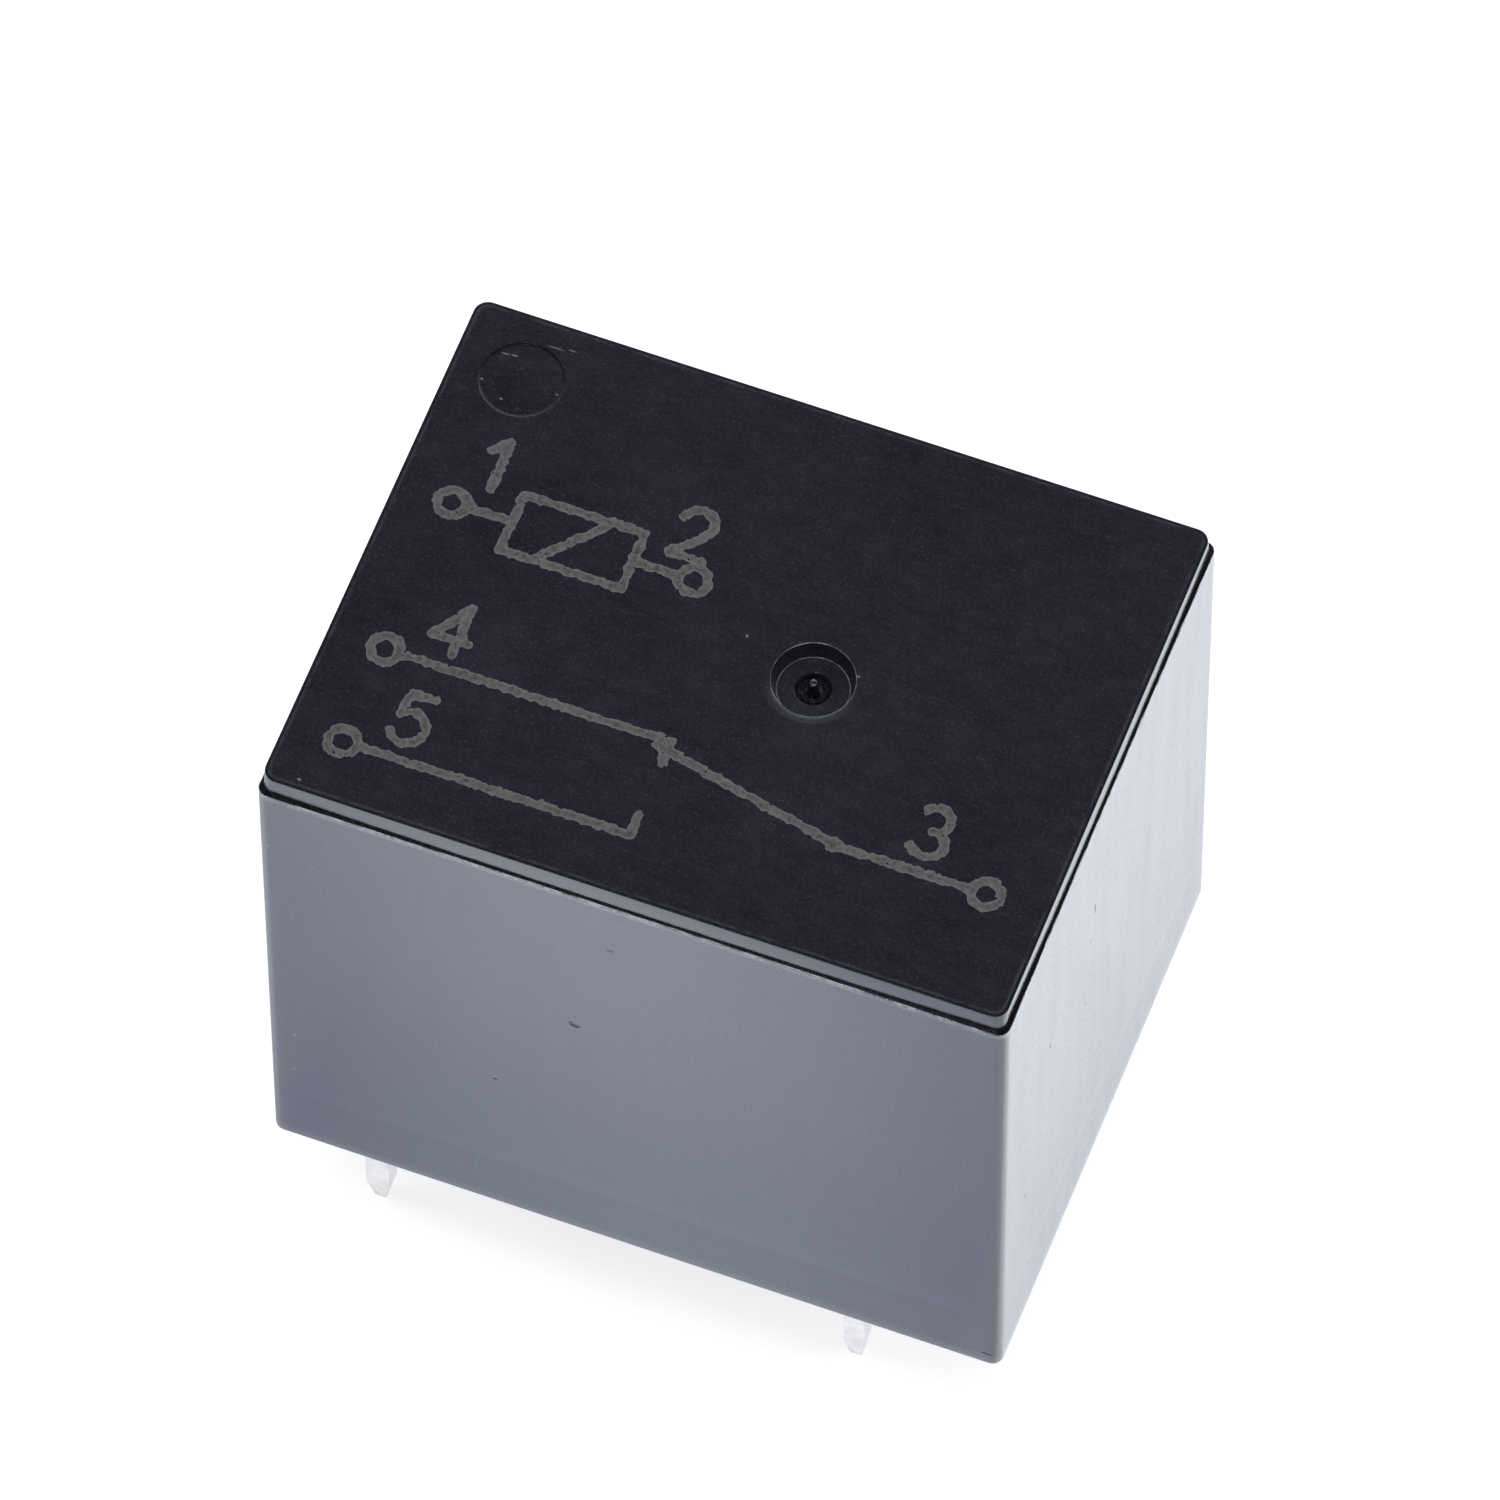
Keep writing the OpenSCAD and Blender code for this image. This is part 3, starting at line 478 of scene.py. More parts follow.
enamelled_wire, tree, shader = finish_named("enamelled_wire", Metallic=0.85, Coat_Weight=0.6,
                                            Coat_Roughness=0.12)
layers = grain(tree, in_mm(tree, (0.6, 0.6, 4.0)), 1.0, 3.0)
tree.links.new(shades(tree, layers, [(0.3, (0.42, 0.105, 0.035)), (0.7, (0.62, 0.20, 0.075))]),
               shader.inputs["Base Color"])
tree.links.new(spread(tree, grain(tree, in_mm(tree), 6.0), 0.22, 0.36), shader.inputs["Roughness"])
winding_mesh = lathed("winding", wire_layer, round_steps)
winding_mesh.transform(Matrix.Translation((winding_x, 0, winding_low.z)))
put("winding", winding_mesh, enamelled_wire, "frame", "enamelled_wire", "coil_winding")
dress(enamelled_wire, "coil_lead_a", "coil_lead_b")

# Soldered wraps and coil pins
# Square tinned brass pins, pressed into the coil former. The wire's ends are wrapped round their tops and
# soldered.
tinned_pin = tinned("tinned_pin", (0.85, 0.85, 0.84), (3.0, 3.0, 0.25))
for name, node in (("start_pin", "coil_pin_a"), ("end_pin", "coil_pin_b")):
    put(name, softened(name, node, 0.04 * mm), tinned_pin, "frame", "tinned_pin", node)
solder_tin, tree, shader = finish_named("solder_tin", Metallic=1.0)
skin = grain(tree, in_mm(tree), 3.0, 4.0)
tree.links.new(shades(tree, skin, [(0.3, (0.58, 0.58, 0.59)), (0.7, (0.80, 0.80, 0.81))]),
               shader.inputs["Base Color"])
tree.links.new(spread(tree, skin, 0.16, 0.34), shader.inputs["Roughness"])
raise_skin(tree, shader, skin, 0.01 * mm, 0.5)
dress(solder_tin, "solder_a", "solder_b")

# Contact spring
# Blanked from phosphor-bronze strip and bent over the hinge. Its heel is staked to the yoke and its leaf to
# the armature, so the two hinge strips bend when the armature is pulled in.
spring_bronze, tree, shader = finish_named("spring_bronze", Metallic=1.0)
rolled = grain(tree, in_mm(tree, (0.2, 3.0, 0.6)), 5.0, 3.0)
tint = grain(tree, in_mm(tree), 0.7, 5.0, 0.6)
tree.links.new(shades(tree, tint, [(0.3, (0.56, 0.31, 0.13)), (0.7, (0.74, 0.47, 0.22))]),
               shader.inputs["Base Color"])
tree.links.new(spread(tree, rolled, 0.24, 0.42), shader.inputs["Roughness"])
raise_skin(tree, shader, rolled, 0.002 * mm, 0.5)
spring = put("leaf_spring", softened("leaf_spring", "contact_spring", 0.03 * mm), spring_bronze, None,
             "spring_bronze", "contact_spring")
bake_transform(spring, "frame", "armature", start=(8.5 * mm, 0, 12.8 * mm), end=(6.9 * mm, 0, 14.4 * mm))

# Resin seal
# Black epoxy cast over the base with the relay on its head, so it has run level, crept up the pins and the
# rim and set with a glossy skin.
resin_low, resin_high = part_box("resin_seal")
rim_half = (resin_high.x, resin_high.y)
rim_corner = 0.3 * mm
# Places, radii and depths in mm
pins_through = ((-7.95, 6.5, 0.40), (-7.95, -6.5, 0.40), (5.85, 6.5, 0.36), (5.85, -6.5, 0.36),
                (8.7, 0.0, 0.42))
bubbles = ((-2.6, 4.9, 0.34, 0.16), (3.4, -3.3, 0.22, 0.12), (-6.2, -1.7, 0.26, 0.13), (7.3, 3.9, 0.18, 0.10))
rim_creep, rim_fade = 0.16, 0.28
pin_creep, pin_fade = 0.26, 0.24
swell, swells_per_mm = 0.02, 0.35
bubble_lip, lip_at, lip_width = 0.03, 1.12, 0.16


def resin_height(x, y):
    """Height of the open face at a place in mm: level, drawn up at the rim and pins, with burst bubbles."""
    rim = min(rim_half[0] / mm - abs(x), rim_half[1] / mm - abs(y))
    pull = rim_creep * np.exp(-rim / rim_fade)
    for px, py, r in pins_through:
        pull = max(pull, pin_creep * np.exp(-max(np.hypot(x - px, y - py) - r, 0) / pin_fade))
    sunk = swell * noise.noise(Vector((swells_per_mm * x, swells_per_mm * y, 0.4)))
    for bx, by, r, deep in bubbles:
        far = np.hypot(x - bx, y - by) / r
        sunk += deep * max(0, 1 - far ** 2) ** 0.5
        sunk -= bubble_lip * np.exp(-((far - lip_at) / lip_width) ** 2)
    return resin_low.z + (sunk - pull) * mm


def inside_corner(x, y):
    """A point of the resin's rectangle, drawn in where the rim's corner is round."""
    over = Vector((abs(x) - rim_half[0] + rim_corner, abs(y) - rim_half[1] + rim_corner))
    if min(over) <= 0 or over.length <= rim_corner:
        return x, y
    over *= 1 - rim_corner / over.length
    return x - np.sign(x) * over.x, y - np.sign(y) * over.y


columns = np.linspace(-rim_half[0], rim_half[0], 141)
lanes = np.linspace(-rim_half[1], rim_half[1], 107)
cast = bmesh.new()
open_face = [[cast.verts.new((*inside_corner(x, y), resin_height(x / mm, y / mm))) for x in columns]
             for y in lanes]
for low, high in zip(open_face, open_face[1:]):
    for k in range(len(columns) - 1):
        cast.faces.new((low[k], high[k], high[k + 1], low[k + 1]))
edge = open_face[0] + [row[-1] for row in open_face[1:]]
edge += open_face[-1][-2::-1] + [row[0] for row in open_face[-2:0:-1]]
back = [cast.verts.new((v.co.x, v.co.y, resin_high.z)) for v in edge]
for k in range(len(edge)):
    n = (k + 1) % len(edge)
    cast.faces.new((edge[k], edge[n], back[n], back[k]))
cast.faces.new(back)
bmesh.ops.recalc_face_normals(cast, faces=cast.faces)
cast_mesh = bpy.data.meshes.new("resin_fill")
cast.to_mesh(cast_mesh)
cast.free()
cast_mesh.shade_smooth()
cast_mesh.set_sharp_from_angle(angle=radians(50))

resin, tree, shader = finish_named("cast_resin", IOR=1.55)
place = in_mm(tree)
flow = grain(tree, place, 0.5, 4.0)
tree.links.new(shades(tree, flow, [(0.3, (0.008, 0.008, 0.009)), (0.7, (0.019, 0.018, 0.020))]),
               shader.inputs["Base Color"])
tree.links.new(spread(tree, grain(tree, place, 2.2, 4.0), 0.10, 0.30), shader.inputs["Roughness"])
raise_skin(tree, shader, grain(tree, place, 1.4, 5.0), 0.02 * mm, 0.4)
put("resin_fill", cast_mesh, resin, "frame", "resin", "resin_seal")

# Cover
# One black moulded case with a stepped top plate. The sunk gate and the round vent mark are moulded in. The
# walls have a fine satin skin and have sunk a little; the sharp edges are pale, partly from rubbing and
# partly painted highlight, and painted shade darkens the ledge, the plate's top edge, the gate's dimple and
# the vent's groove.
case_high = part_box("cover")[1]
case_l, case_w = case_high.x, case_high.y
marking_t = 0.006 * mm
case_h = case_high.z - marking_t
wall_t, roof_low = 0.8 * mm, 17.4 * mm
rebate, rebate_top = 0.15 * mm, 2.5 * mm
plate_in, foot_swell = 0.122 * mm, 0.024 * mm
ledge_z = case_high.z - 0.70 * mm
wall_corner, plate_corner, foot_corner, inner_corner = 0.32 * mm, 0.40 * mm, 0.24 * mm, 0.3 * mm
lip_in = 0.04 * mm
# How far the walls have sunk, in mm
wall_bow, wall_line, wall_wave, edge_wave = 0.018, 0.006, 0.005, 0.02
line_z, line_half = 2.25, 0.34
gate_x = 2.1 * mm
vent_x, vent_y = -8.35 * mm, 5.9 * mm


def eased(corners, steps=4):
    """Rounds a line of (across, height, radius, mark) corners, and gives (across, height, mark) points. A
    mark above 0 is pale, partly rubbing and partly painted highlight; below 0 it is painted shade.
    """
    line = []
    for i, (x, z, r, rubbing_and_painted_light) in enumerate(corners):
        here = Vector((x, z))
        if not r:
            line.append((x, z, rubbing_and_painted_light))
            continue
        back, on = (Vector(corners[j][:2]) - here for j in (i - 1, i + 1))
        reach = min(r / np.tan(back.angle(on) / 2), 0.49 * back.length, 0.49 * on.length)
        start, end = here + back.normalized() * reach, here + on.normalized() * reach
        for k in range(steps + 1):
            t = k / steps
            x, z = (1 - t) ** 2 * start + 2 * t * (1 - t) * here + t ** 2 * end
            line.append((x, z, rubbing_and_painted_light if rubbing_and_painted_light < 0 or 0 < k < steps else 0))
    return line


def round_loop(half_l, half_w, r, z, steps=8, runs=84):
    """Points of a level rectangle with round corners and divided sides."""
    loop = []
    ends = ((1, 1), (-1, 1), (-1, -1), (1, -1))
    for corner, (sx, sy) in enumerate(ends):
        nx, ny = ends[(corner + 1) % 4]
        for k in range(steps + 1):
            a = pi / 2 * (corner + k / steps)
            loop.append(Vector((sx * (half_l - r) + r * cos(a), sy * (half_w - r) + r * sin(a), z)))
        a = pi / 2 * (corner + 1)
        on = Vector((nx * (half_l - r) + r * cos(a), ny * (half_w - r) + r * sin(a), z))
        loop += [loop[-1].lerp(on, t / runs) for t in range(1, runs)]
    return loop


def sunk_wall(point):
    """A point of the outer wall, drawn in a little where the moulding has sunk."""
    x, y, z = point
    face = 0 if case_l - abs(x) < case_w - abs(y) else 1
    along = (y / (case_w - wall_corner)) if face == 0 else (x / (case_l - wall_corner))
    up = min(max(z / ledge_z, 0), 1)
    if abs(along) >= 1:
        return point
    ease = (1 - along ** 8) * min(1, 12 * up)
    bow = wall_bow * (1 - along ** 2) * up ** 0.5
    line = wall_line * np.exp(-((z / mm - line_z) / line_half) ** 2)
    wave = wall_wave * (1 + noise.noise(Vector((x, y, z)) / (4.2 * mm)))
    if z > ledge_z - 0.06 * mm:
        wave += edge_wave * max(0, 0.3 + noise.noise(Vector((x, y, 0)) / (0.5 * mm)))
    point[face] -= np.sign(point[face]) * ease * (bow + line + wave) * mm
    return point


def swollen_foot(point):
    """A point at the foot of the plate's side, further out toward the middle of the side."""
    face = 0 if case_l - abs(point.x) < case_w - abs(point.y) else 1
    along = (point.y / (case_w - plate_corner)) if face == 0 else (point.x / (case_l - plate_corner))
    point[face] += np.sign(point[face]) * foot_swell * max(0, 1 - abs(along) ** 3)
    return point


def ring(x, y, r, z, steps=96):
    """Points of a level circle."""
    return [(x + r * cos(2 * pi * k / steps), y + r * sin(2 * pi * k / steps), z) for k in range(steps)]


def stack(body, loops):
    """Joins loops of the same count by faces. A loop is its points and their mark of rubbing and painted
    light, or that mark for each angle.
    """
    rubbing_and_light_of = body.verts.layers.float["rubbing_and_painted_light"]
    rows = []
    for points, rubbing_and_painted_light in loops:
        rows.append([body.verts.new(p) for p in points])
        for k, corner in enumerate(rows[-1]):
            corner[rubbing_and_light_of] = rubbing_and_painted_light(2 * pi * k / len(points)) if callable(rubbing_and_painted_light) else rubbing_and_painted_light
    for low, high in zip(rows, rows[1:]):
        for k in range(len(low)):
            n = (k + 1) % len(low)
            body.faces.new((low[k], low[n], high[n], high[k]))
    return rows


def rim_edges(body, row):
    """The edges round a loop."""
    return [body.edges.get((row[k], row[(k + 1) % len(row)])) for k in range(len(row))]


case = bmesh.new()
case.verts.layers.float.new("rubbing_and_painted_light")
# From the roof inside, down to the rim, up the wall, over the ledge and on to the top plate
inside = wall_t - rebate
wall_levels = [0.5, 1.0, 1.4, 1.7, 1.9, 2.1, 2.25, 2.4, 2.6, 2.8, 3.1]
wall_levels += [3.6 + 0.7 * k for k in range(20)] + [17.3]
# The last value is the mark of rubbing and painted light: the pale line on the wall's top edge is partly
# rubbing and partly painted highlight, and the ledge gets painted shade
section = eased([
    (wall_t, roof_low, 0, 0), (wall_t, rebate_top, 0, 0), (inside, rebate_top, 0, 0),
    (inside, 0, 0.06 * mm, 0), (0, 0, 0.06 * mm, 0), *((0, z * mm, 0, 0) for z in wall_levels),
    (0, ledge_z - 0.22 * mm, 0, 0), (0, ledge_z - 0.11 * mm, 0, 0.45), (0, ledge_z - 0.06 * mm, 0, 0.85),
    (0, ledge_z, 0.036 * mm, 1), (lip_in, ledge_z, 0, -0.9),
])
loops = []
for across, z, rubbing_and_painted_light in section:
    corner = inner_corner if across > wall_t / 2 else wall_corner - across
    loop = round_loop(case_l - across, case_w - across, corner, z)
    outside = across < lip_in + 0.001 * mm
    loops.append(([sunk_wall(p) for p in loop] if outside else loop, rubbing_and_painted_light))
# The plate's foot swells out at the middle of each side, so the ledge is narrowest there; the foot carries
# painted shade, which blackens the ledge
for across, rise, rubbing_and_painted_light in ((plate_in - 0.008 * mm, 0, -1), (plate_in, 0, -1), (plate_in, 0.01 * mm, -0.5)):
    loop = round_loop(case_l - across, case_w - across, foot_corner, ledge_z + rise)
    loops.append(([swollen_foot(p) for p in loop], rubbing_and_painted_light))
# The plate's top edge carries a dark line of painted shade, with a faint painted highlight just inside it
plate_rim = ((0.055 * mm, -0.4), (0.10 * mm, 0.04), (0.13 * mm, 0.03), (0.19 * mm, 0))
plate_section = eased([(plate_in, ledge_z + 0.01 * mm, 0, 0), (plate_in, case_h, 0.035 * mm, -1),
                       *((plate_in + across, case_h, 0, rubbing_and_painted_light) for across, rubbing_and_painted_light in plate_rim)])
for across, z, rubbing_and_painted_light in plate_section[1:]:
    corner = plate_corner - max(across - plate_in, 0)
    loops.append((round_loop(case_l - across, case_w - across, corner, z), rubbing_and_painted_light))
rows = stack(case, loops)
case.faces.new(rows[0])
top_edges = rim_edges(case, rows[-1])

# Sunk gate: a soft lip, a leaning wall, a flat floor with a dimple, and the broken-off stub of the sprue.
# Painted highlights ring the lip and the floor's edge and fleck the stub's tip; painted shade darkens the
# dimple and the stub's sides
gate_section = eased([
    (1.48 * mm, 0, 0, 0), (1.36 * mm, 0, 0.4 * mm, 0), (1.22 * mm, -0.014 * mm, 0.012 * mm, 0.1),
    (1.125 * mm, -0.03 * mm, 0.03 * mm, 0.34), (0.97 * mm, -0.5 * mm, 0.02 * mm, 0.3),
    (0.50 * mm, -0.5 * mm, 0.03 * mm, 0), (0.43 * mm, -0.66 * mm, 0.06 * mm, -1),
    (0.28 * mm, -0.76 * mm, 0.05 * mm, -1), (0.17 * mm, -0.74 * mm, 0.03 * mm, -1),
    (0.12 * mm, -0.34 * mm, 0.01 * mm, -0.6), (0.095 * mm, -0.17 * mm, 0.018 * mm, 0.8),
    (0.05 * mm, -0.20 * mm, 0, -0.4), (0.01 * mm, -0.21 * mm, 0, -0.4),
], 5)


def gate_painted_light(amount):
    """Painted light round a ring of the gate: even on the edges, and a painted highlight in two flecks on the
    stub's tip.
    """
    if amount < 0.5:
        return amount
    return lambda a: amount * max(0, cos(a - 1.75)) ** 2 + 0.7 * amount * max(0, cos(a + 1.0)) ** 6


rows = stack(case, [(ring(gate_x, 0, r, case_h + z), gate_painted_light(rubbing_and_painted_light)) for r, z, rubbing_and_painted_light in gate_section])
case.faces.new(rows[-1])
top_edges += rim_edges(case, rows[0])

# Vent mark: a shallow round sink with a crisp rim and a faint crown, with a painted highlight on the front of
# its rim and painted shade in its groove
vent_section = eased([
    (1.26 * mm, 0, 0, 0), (1.15 * mm, 0, 0.012 * mm, 0.14), (1.135 * mm, -0.05 * mm, 0.012 * mm, -0.9),
    (1.06 * mm, -0.058 * mm, 0.1 * mm, -0.4), (0.6 * mm, -0.05 * mm, 0.3 * mm, -0.3),
    (0.02 * mm, -0.045 * mm, 0, 0),
], 5)


def vent_painted_light(rubbing_and_painted_light, r):
    """Painted light round a ring of the vent mark: a painted highlight on its front arc, painted shade in the
    groove behind and in front.
    """
    if rubbing_and_painted_light > 0:
        return lambda a: rubbing_and_painted_light * max(0, -sin(a + 0.35))
    return lambda a: rubbing_and_painted_light * max(0, sin(a) if r > 1.1 * mm else -sin(a))


rows = stack(case, [(ring(vent_x, vent_y, r, case_h + z), vent_painted_light(rubbing_and_painted_light, r))
                    for r, z, rubbing_and_painted_light in vent_section])
case.faces.new(rows[-1])
top_edges += rim_edges(case, rows[0])
bmesh.ops.triangle_fill(case, edges=top_edges, use_beauty=True, normal=(0, 0, 1))
bmesh.ops.recalc_face_normals(case, faces=case.faces)
case_mesh = bpy.data.meshes.new("cover_case")
case.to_mesh(case_mesh)
case.free()


def spots(tree, place, marks):
    """A mask of small marks, each a middle and the half sizes in mm along the axes."""
    mask = None
    for middle, half in marks:
        far = length_of(tree, triples(tree, "DIVIDE", triples(tree, "SUBTRACT", place, middle), half))
        one = spread(tree, far, 1, 0, 0.5, 1.0)
        mask = one if mask is None else sums(tree, "MAXIMUM", mask, one)
    return mask


pale_marks = (
    ((-9.06, 6.53, 18.4), (0.16, 0.03, 0.2)), ((-8.81, 6.56, 18.4), (0.11, 0.035, 0.2)),
    ((-7.86, 7.13, 18.4), (0.3, 0.018, 0.2)), ((-7.42, 7.2, 18.4), (0.14, 0.02, 0.2)),
    ((-9.37, 5.58, 18.4), (0.05, 0.05, 0.2)), ((-8.67, 5.18, 18.4), (0.06, 0.04, 0.2)),
    ((-7.33, 5.82, 18.4), (0.07, 0.03, 0.2)),
    ((0.01, 0.62, 18.4), (0.05, 0.05, 0.2)), ((3.17, 0.5, 18.4), (0.06, 0.04, 0.2)),
    ((-9.35, -7.58, 18.4), (0.07, 0.05, 0.2)), ((-8.91, -8, 14.74), (0.08, 0.2, 0.05)),
    ((-9.55, -8, 11.89), (0.05, 0.2, 0.05)), ((-10.17, -8, 15.17), (0.05, 0.3, 0.09)),
    ((-9.66, -8, 5.46), (0.05, 0.2, 0.16)), ((-9.72, -8, 3.6), (0.06, 0.2, 0.06)),
    ((-1.50, -8, 10.93), (0.05, 0.2, 0.04)), ((8.3, -8, 2.9), (0.05, 0.2, 0.04)),
    ((4.6, -8, 5.1), (0.04, 0.2, 0.04)),
)
dark_marks = (
    ((-1.58, -8, 10.97), (0.17, 0.2, 0.11)), ((-1.70, -8, 11.05), (0.07, 0.2, 0.09)),
    ((-0.55, -8, 15.5), (0.12, 0.2, 0.035)), ((-3.9, -8, 6.7), (0.07, 0.2, 0.07)),
    ((10.45, -1.71, 9.29), (0.2, 0.04, 0.09)), ((10.45, -1.12, 13.35), (0.2, 0.05, 0.26)),
    ((10.45, -4.47, 11.57), (0.2, 0.05, 0.12)), ((10.45, -1.37, 12.02), (0.2, 0.03, 0.16)),
    ((10.45, -6.2, 6.4), (0.2, 0.06, 0.09)), ((10.1, -8, 0.55), (0.22, 0.2, 0.05)),
)
plastic_tones = [(0.0, (0.0052, 0.0052, 0.0108)), (1.0, (0.0154, 0.0150, 0.0259))]
painted_shade_black, rubbing_and_highlight_pale = (0.003, 0.003, 0.005, 1), (0.80, 0.81, 0.84, 1)
dust_pale, speck_pale, pit_painted_shade = (0.80, 0.82, 0.88, 1), (0.50, 0.51, 0.54, 1), (0.004, 0.004, 0.006, 1)
speck_share, pit_rough, pit_deep = 0.3, 0.8, 34.0
cover_plastic, tree, shader = finish_named("cover_plastic", IOR=1.56, Coat_Weight=1.0, Coat_Roughness=0.2,
                                           Coat_IOR=1.56)
place = in_mm(tree)
rubbing_and_light = wire(tree, "ShaderNodeAttribute", attribute_name="rubbing_and_painted_light").outputs["Fac"]
cloud = grain(tree, place, 0.30, 6.0, 0.62)
wisps = grain(tree, in_mm(tree, (0.75, 1.7, 1.2), (0, 0, 0.2)), 1.6, 6.0, 0.7)
skin = grain(tree, place, 9.0, 3.0)
streaks = grain(tree, in_mm(tree, (1.6, 1.6, 0.16)), 1.0, 4.0, 0.6)
colour = shades(tree, spread(tree, sums(tree, "ADD", cloud, wisps), 0, 1, 0.72, 1.28), plastic_tones)
# Painted shade: where the mark is below 0 the colour turns near black, on the ledge, the plate's top edge,
# the gate's dimple and stub and the vent's groove
colour = tinted(tree, spread(tree, rubbing_and_light, 1, 0, -1, 0), colour, painted_shade_black)
# The pale edges, partly rubbing and partly painted highlight, are broken into chips; dust lies everywhere
ragged = spread(tree, grain(tree, place, 1.6, 5.0, 0.65), 0.2, 1.0, 0.40, 0.56)
pale_rubbing_and_highlight = sums(tree, "MULTIPLY", spread(tree, rubbing_and_light, 0, 1, 0, 1), ragged)
chip_noise = grain(tree, in_mm(tree, (1, 1, 1.5)), 4.5, 4.0, 0.6)
chips = spread(tree, sums(tree, "ADD", rubbing_and_light, sums(tree, "MULTIPLY", chip_noise, 2.2)), 0, 1, 1.72, 1.96)
chips = sums(tree, "MAXIMUM", chips, spread(tree, rubbing_and_light, 1, 0.15, 0.36, 0.4))
colour = tinted(tree, sums(tree, "MINIMUM", pale_rubbing_and_highlight, chips), colour, rubbing_and_highlight_pale)
dust = spread(tree, grain(tree, place, 13.0, 2.0, 0.6), 0, 0.026, 0.56, 0.72)
colour = tinted(tree, dust, colour, dust_pale)
# Pale specks and pits that handling has left. The pits are dented and darkened with painted shade, and some
# pale specks are painted highlights on their rims
pits = spots(tree, place, dark_marks)
specks = sums(tree, "MULTIPLY", spots(tree, place, pale_marks), speck_share)
colour = tinted(tree, pits, tinted(tree, specks, colour, speck_pale), pit_painted_shade)
tree.links.new(colour, shader.inputs["Base Color"])
rough = sums(tree, "ADD", spread(tree, skin, 0.20, 0.30), spread(tree, streaks, -0.03, 0.05))
rough = sums(tree, "MAXIMUM", rough, sums(tree, "MULTIPLY", pits, pit_rough))
tree.links.new(rough, shader.inputs["Roughness"])
relief = sums(tree, "SUBTRACT", skin, sums(tree, "MULTIPLY", pits, pit_deep))
raise_skin(tree, shader, relief, 0.0038 * mm, 0.7)
put("cover_case", evened("cover_case", case_mesh), cover_plastic, "frame", "cover_plastic", "cover")

# Marking on the top
# A plain wiring sketch with the pins' numbers, written by a laser that foams the plastic's skin into ragged
# grey strokes. The coil stands at the back and the changeover contact along the front. Sizes are in mm.
stroke_half = 0.135
stroke_ragged, stroke_wavy = 0.017, 0.011
hole_share, hole_level = 0.05, 2.1
cell = 0.04
field_low, field_high = (-9.5, -7.0), (9.5, 4.4)


def circle_line(x, y, r, count=18):
    """A closed ring of points."""
    return [(x + r * cos(2 * pi * k / count), y + r * sin(2 * pi * k / count)) for k in range(count + 1)]


def bend(x, y, half_w, half_h, start, end, count=14):
    """Points of a bend from one angle to another, in degrees."""
    turns_to = np.radians(np.linspace(start, end, count))
    return [(x + half_w * cos(a), y + half_h * sin(a)) for a in turns_to]


digit_lines = {
    1: [(0.04, 0.74), (0.30, 1), (0.30, 0)],
    2: bend(0.30, 0.71, 0.29, 0.29, 165, -38) + [(0.02, 0), (0.62, 0)],
    3: bend(0.28, 0.755, 0.26, 0.245, 150, -90) + bend(0.28, 0.265, 0.31, 0.265, 90, -150),
    4: [(0.46, 0), (0.46, 1), (0, 0.3), (0.66, 0.3)],
    5: [(0.56, 1), (0.11, 1), (0.06, 0.54)] + bend(0.28, 0.325, 0.31, 0.325, 128, -150),
}


def digit(number, x, y, height):
    """The line of a number, standing at a place."""
    return [(x + height * u, y + height * v) for u, v in digit_lines[number]]


lines = [
    # Coil and its two pins
    [(-7.0, 0.8), (-3.6, 0.8), (-3.6, 2.6), (-7.0, 2.6), (-7.0, 0.8)], [(-6.1, 0.8), (-4.5, 2.6)],
    [(-8.3, 1.7), (-7.0, 1.7)], [(-3.6, 1.7), (-2.3, 1.7)],
    circle_line(-8.7, 1.7, 0.4), circle_line(-1.9, 1.7, 0.4),
    digit(1, -8.35, 2.45, 1.5), digit(2, -2.85, 2.3, 1.5),
    # Common pin, arm, and the closed and open contacts
    circle_line(8.6, -4.5, 0.4), [(8.2, -4.5), (4.4, -4.5)], [(4.4, -4.5), (-1.0, -3.3)],
    circle_line(-8.7, -3.1, 0.4), [(-8.3, -3.1), (-0.7, -3.1)], [(-0.7, -3.1), (-0.7, -3.75)],
    circle_line(-8.7, -6.1, 0.4), [(-8.3, -6.1), (-0.7, -6.1)], [(-0.7, -6.1), (-0.7, -5.45)],
    circle_line(4.4, -4.5, 0.12, 8),
    digit(3, 6.2, -4.0, 1.5), digit(4, -7.7, -2.65, 1.5), digit(5, -7.7, -5.6, 1.5),
]
starts = np.array([p for line in lines for p in line[:-1]])
ends = np.array([p for line in lines for p in line[1:]])
across = np.arange(field_low[0], field_high[0], cell)
upward = np.arange(field_low[1], field_high[1], cell)
grid = np.stack(np.meshgrid(across, upward), -1)
far = np.full(grid.shape[:2], 9.0)
for a, b in zip(starts, ends):
    run = b - a
    t = np.clip(((grid - a) @ run) / (run @ run), 0, 1)
    far = np.minimum(far, np.linalg.norm(grid - a - t[..., None] * run, axis=-1))
seeded = np.random.default_rng(11)


def blotches(softness):
    """Seeded blotches over the field, of mean 0 and spread 1."""
    field = seeded.standard_normal(far.shape)
    for _ in range(softness):
        beside = [np.roll(field, step, axis) for axis in (0, 1) for step in (1, -1)]
        field = (2 * field + beside[0] + beside[1] + beside[2] + beside[3]) / 6
    return field / field.std()


depth = far - stroke_half + stroke_ragged * blotches(3) + stroke_wavy * blotches(10)
depth = np.maximum(depth, hole_share * (blotches(1) - hole_level))
film = bmesh.new()
edge_of = film.verts.layers.float.new("foam")
made = {}


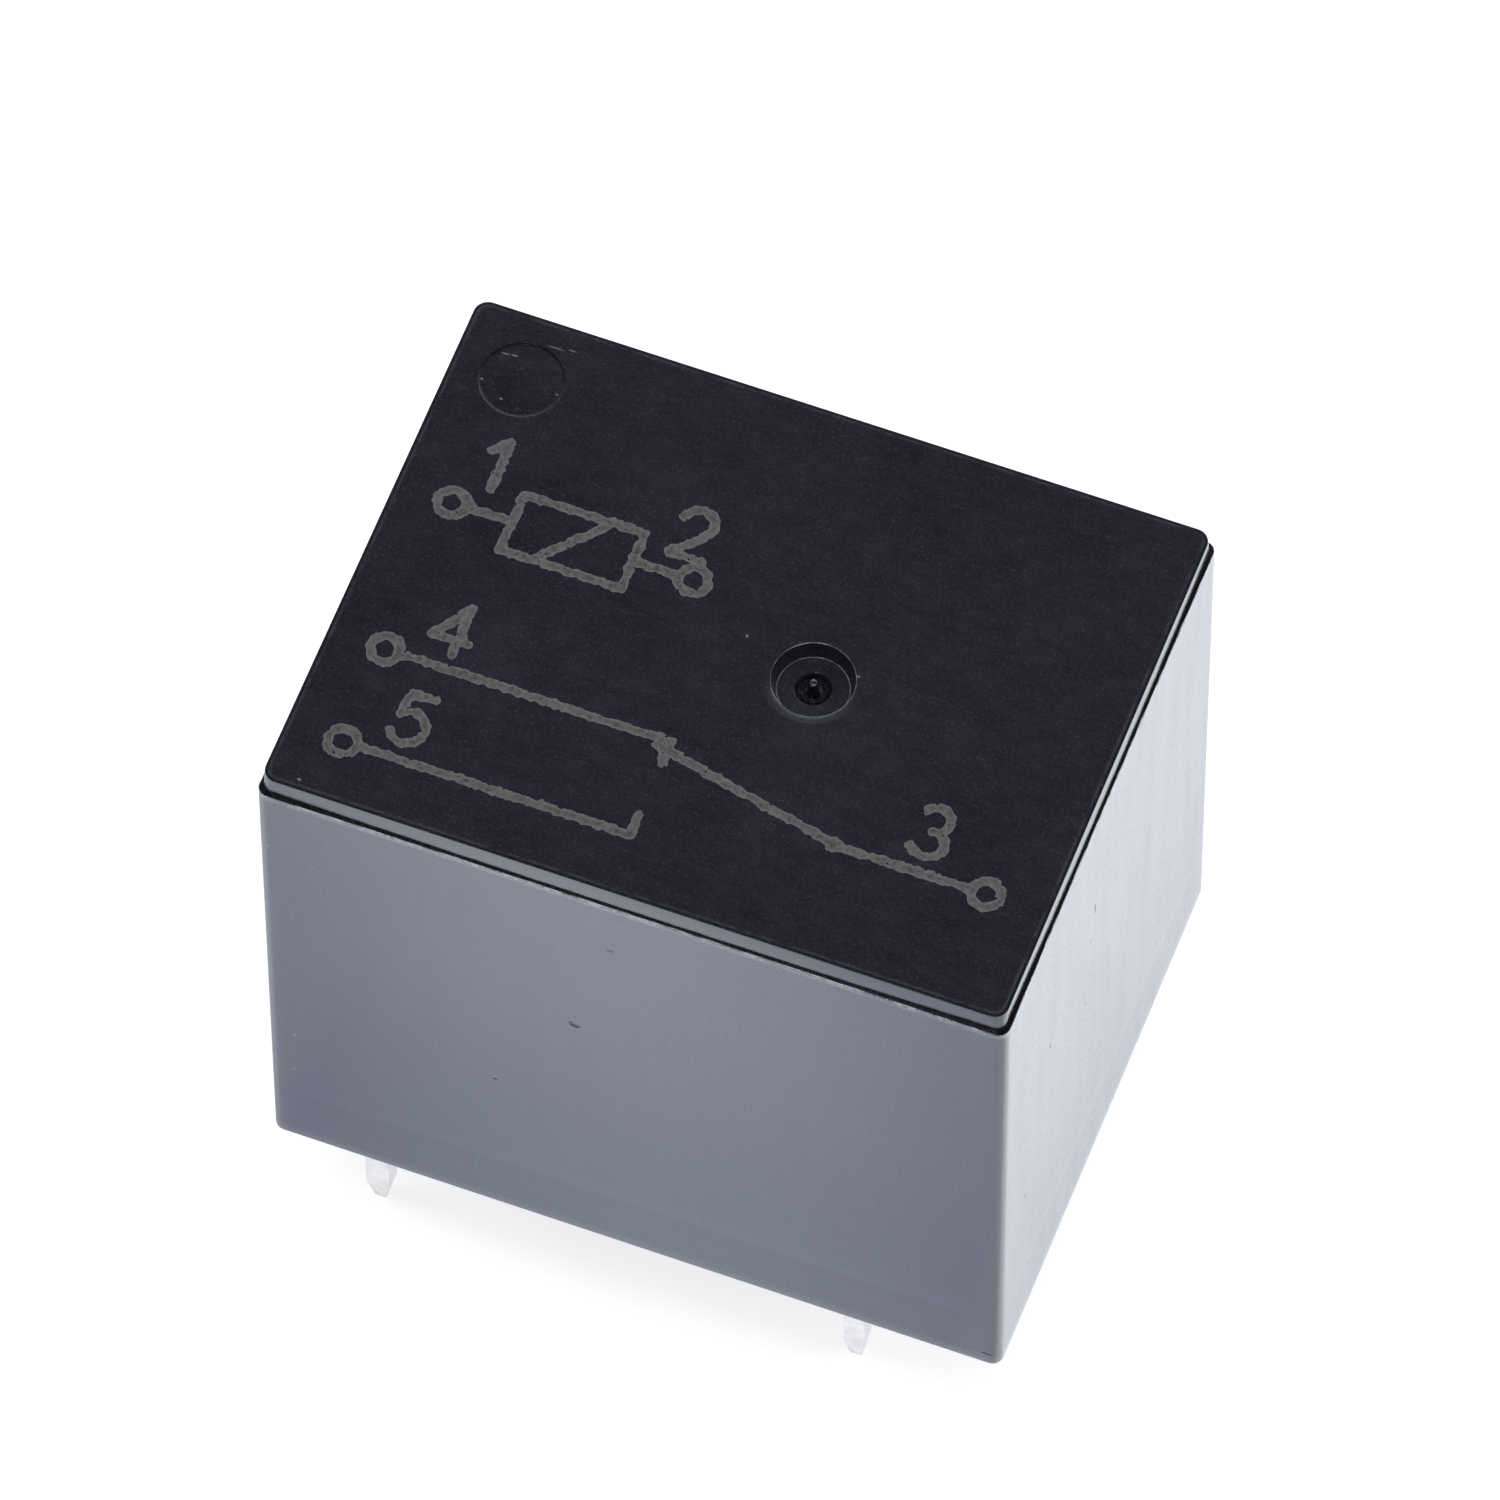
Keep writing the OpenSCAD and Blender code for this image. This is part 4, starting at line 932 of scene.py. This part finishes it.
def film_corner(key, x, y, value):
    """One point of the film, made once for all the cells that share it."""
    if key not in made:
        made[key] = film.verts.new((x * mm, y * mm, case_high.z))
        made[key][edge_of] = value
    return made[key]


marked = depth < 0
touched = marked[:-1, :-1] | marked[1:, :-1] | marked[:-1, 1:] | marked[1:, 1:]
for j, i in zip(*np.nonzero(touched)):
    turn = ((i, j), (i + 1, j), (i + 1, j + 1), (i, j + 1))
    outline = []
    for (ax, ay), (bx, by) in zip(turn, turn[1:] + turn[:1]):
        da, db = depth[ay, ax], depth[by, bx]
        if da < 0:
            outline.append(film_corner((ax, ay), across[ax], upward[ay], -da))
        if (da < 0) != (db < 0):
            t = min(max(da / (da - db), 0.08), 0.92)
            x = across[ax] + t * (across[bx] - across[ax])
            y = upward[ay] + t * (upward[by] - upward[ay])
            outline.append(film_corner(tuple(sorted(((ax, ay), (bx, by)))), x, y, 0))
    if len(outline) > 2:
        film.faces.new(outline)
bmesh.ops.recalc_face_normals(film, faces=film.faces)
grown = bmesh.ops.extrude_face_region(film, geom=film.faces[:])
for item in grown["geom"]:
    if isinstance(item, bmesh.types.BMVert):
        item.co.z -= 3 * marking_t
bmesh.ops.recalc_face_normals(film, faces=film.faces)
film_mesh = bpy.data.meshes.new("top_marking")
film.to_mesh(film_mesh)
film.free()

foamed, tree, shader = finish_named("foamed_mark", IOR=1.45)
place = in_mm(tree)
edge = wire(tree, "ShaderNodeAttribute", attribute_name="foam").outputs["Fac"]
froth = grain(tree, place, 7.0, 4.0, 0.7)
tree.links.new(tinted(tree, spread(tree, edge, 0.55, 0, 0.0, 0.09),
                      shades(tree, froth, [(0.34, (0.045, 0.044, 0.047)), (0.66, (0.125, 0.122, 0.122))]),
                      (0.17, 0.166, 0.166, 1)), shader.inputs["Base Color"])
tree.links.new(spread(tree, froth, 0.55, 0.85), shader.inputs["Roughness"])
raise_skin(tree, shader, froth, 0.02 * mm, 0.6)
put("top_marking", film_mesh, foamed, "frame", "cover_plastic")
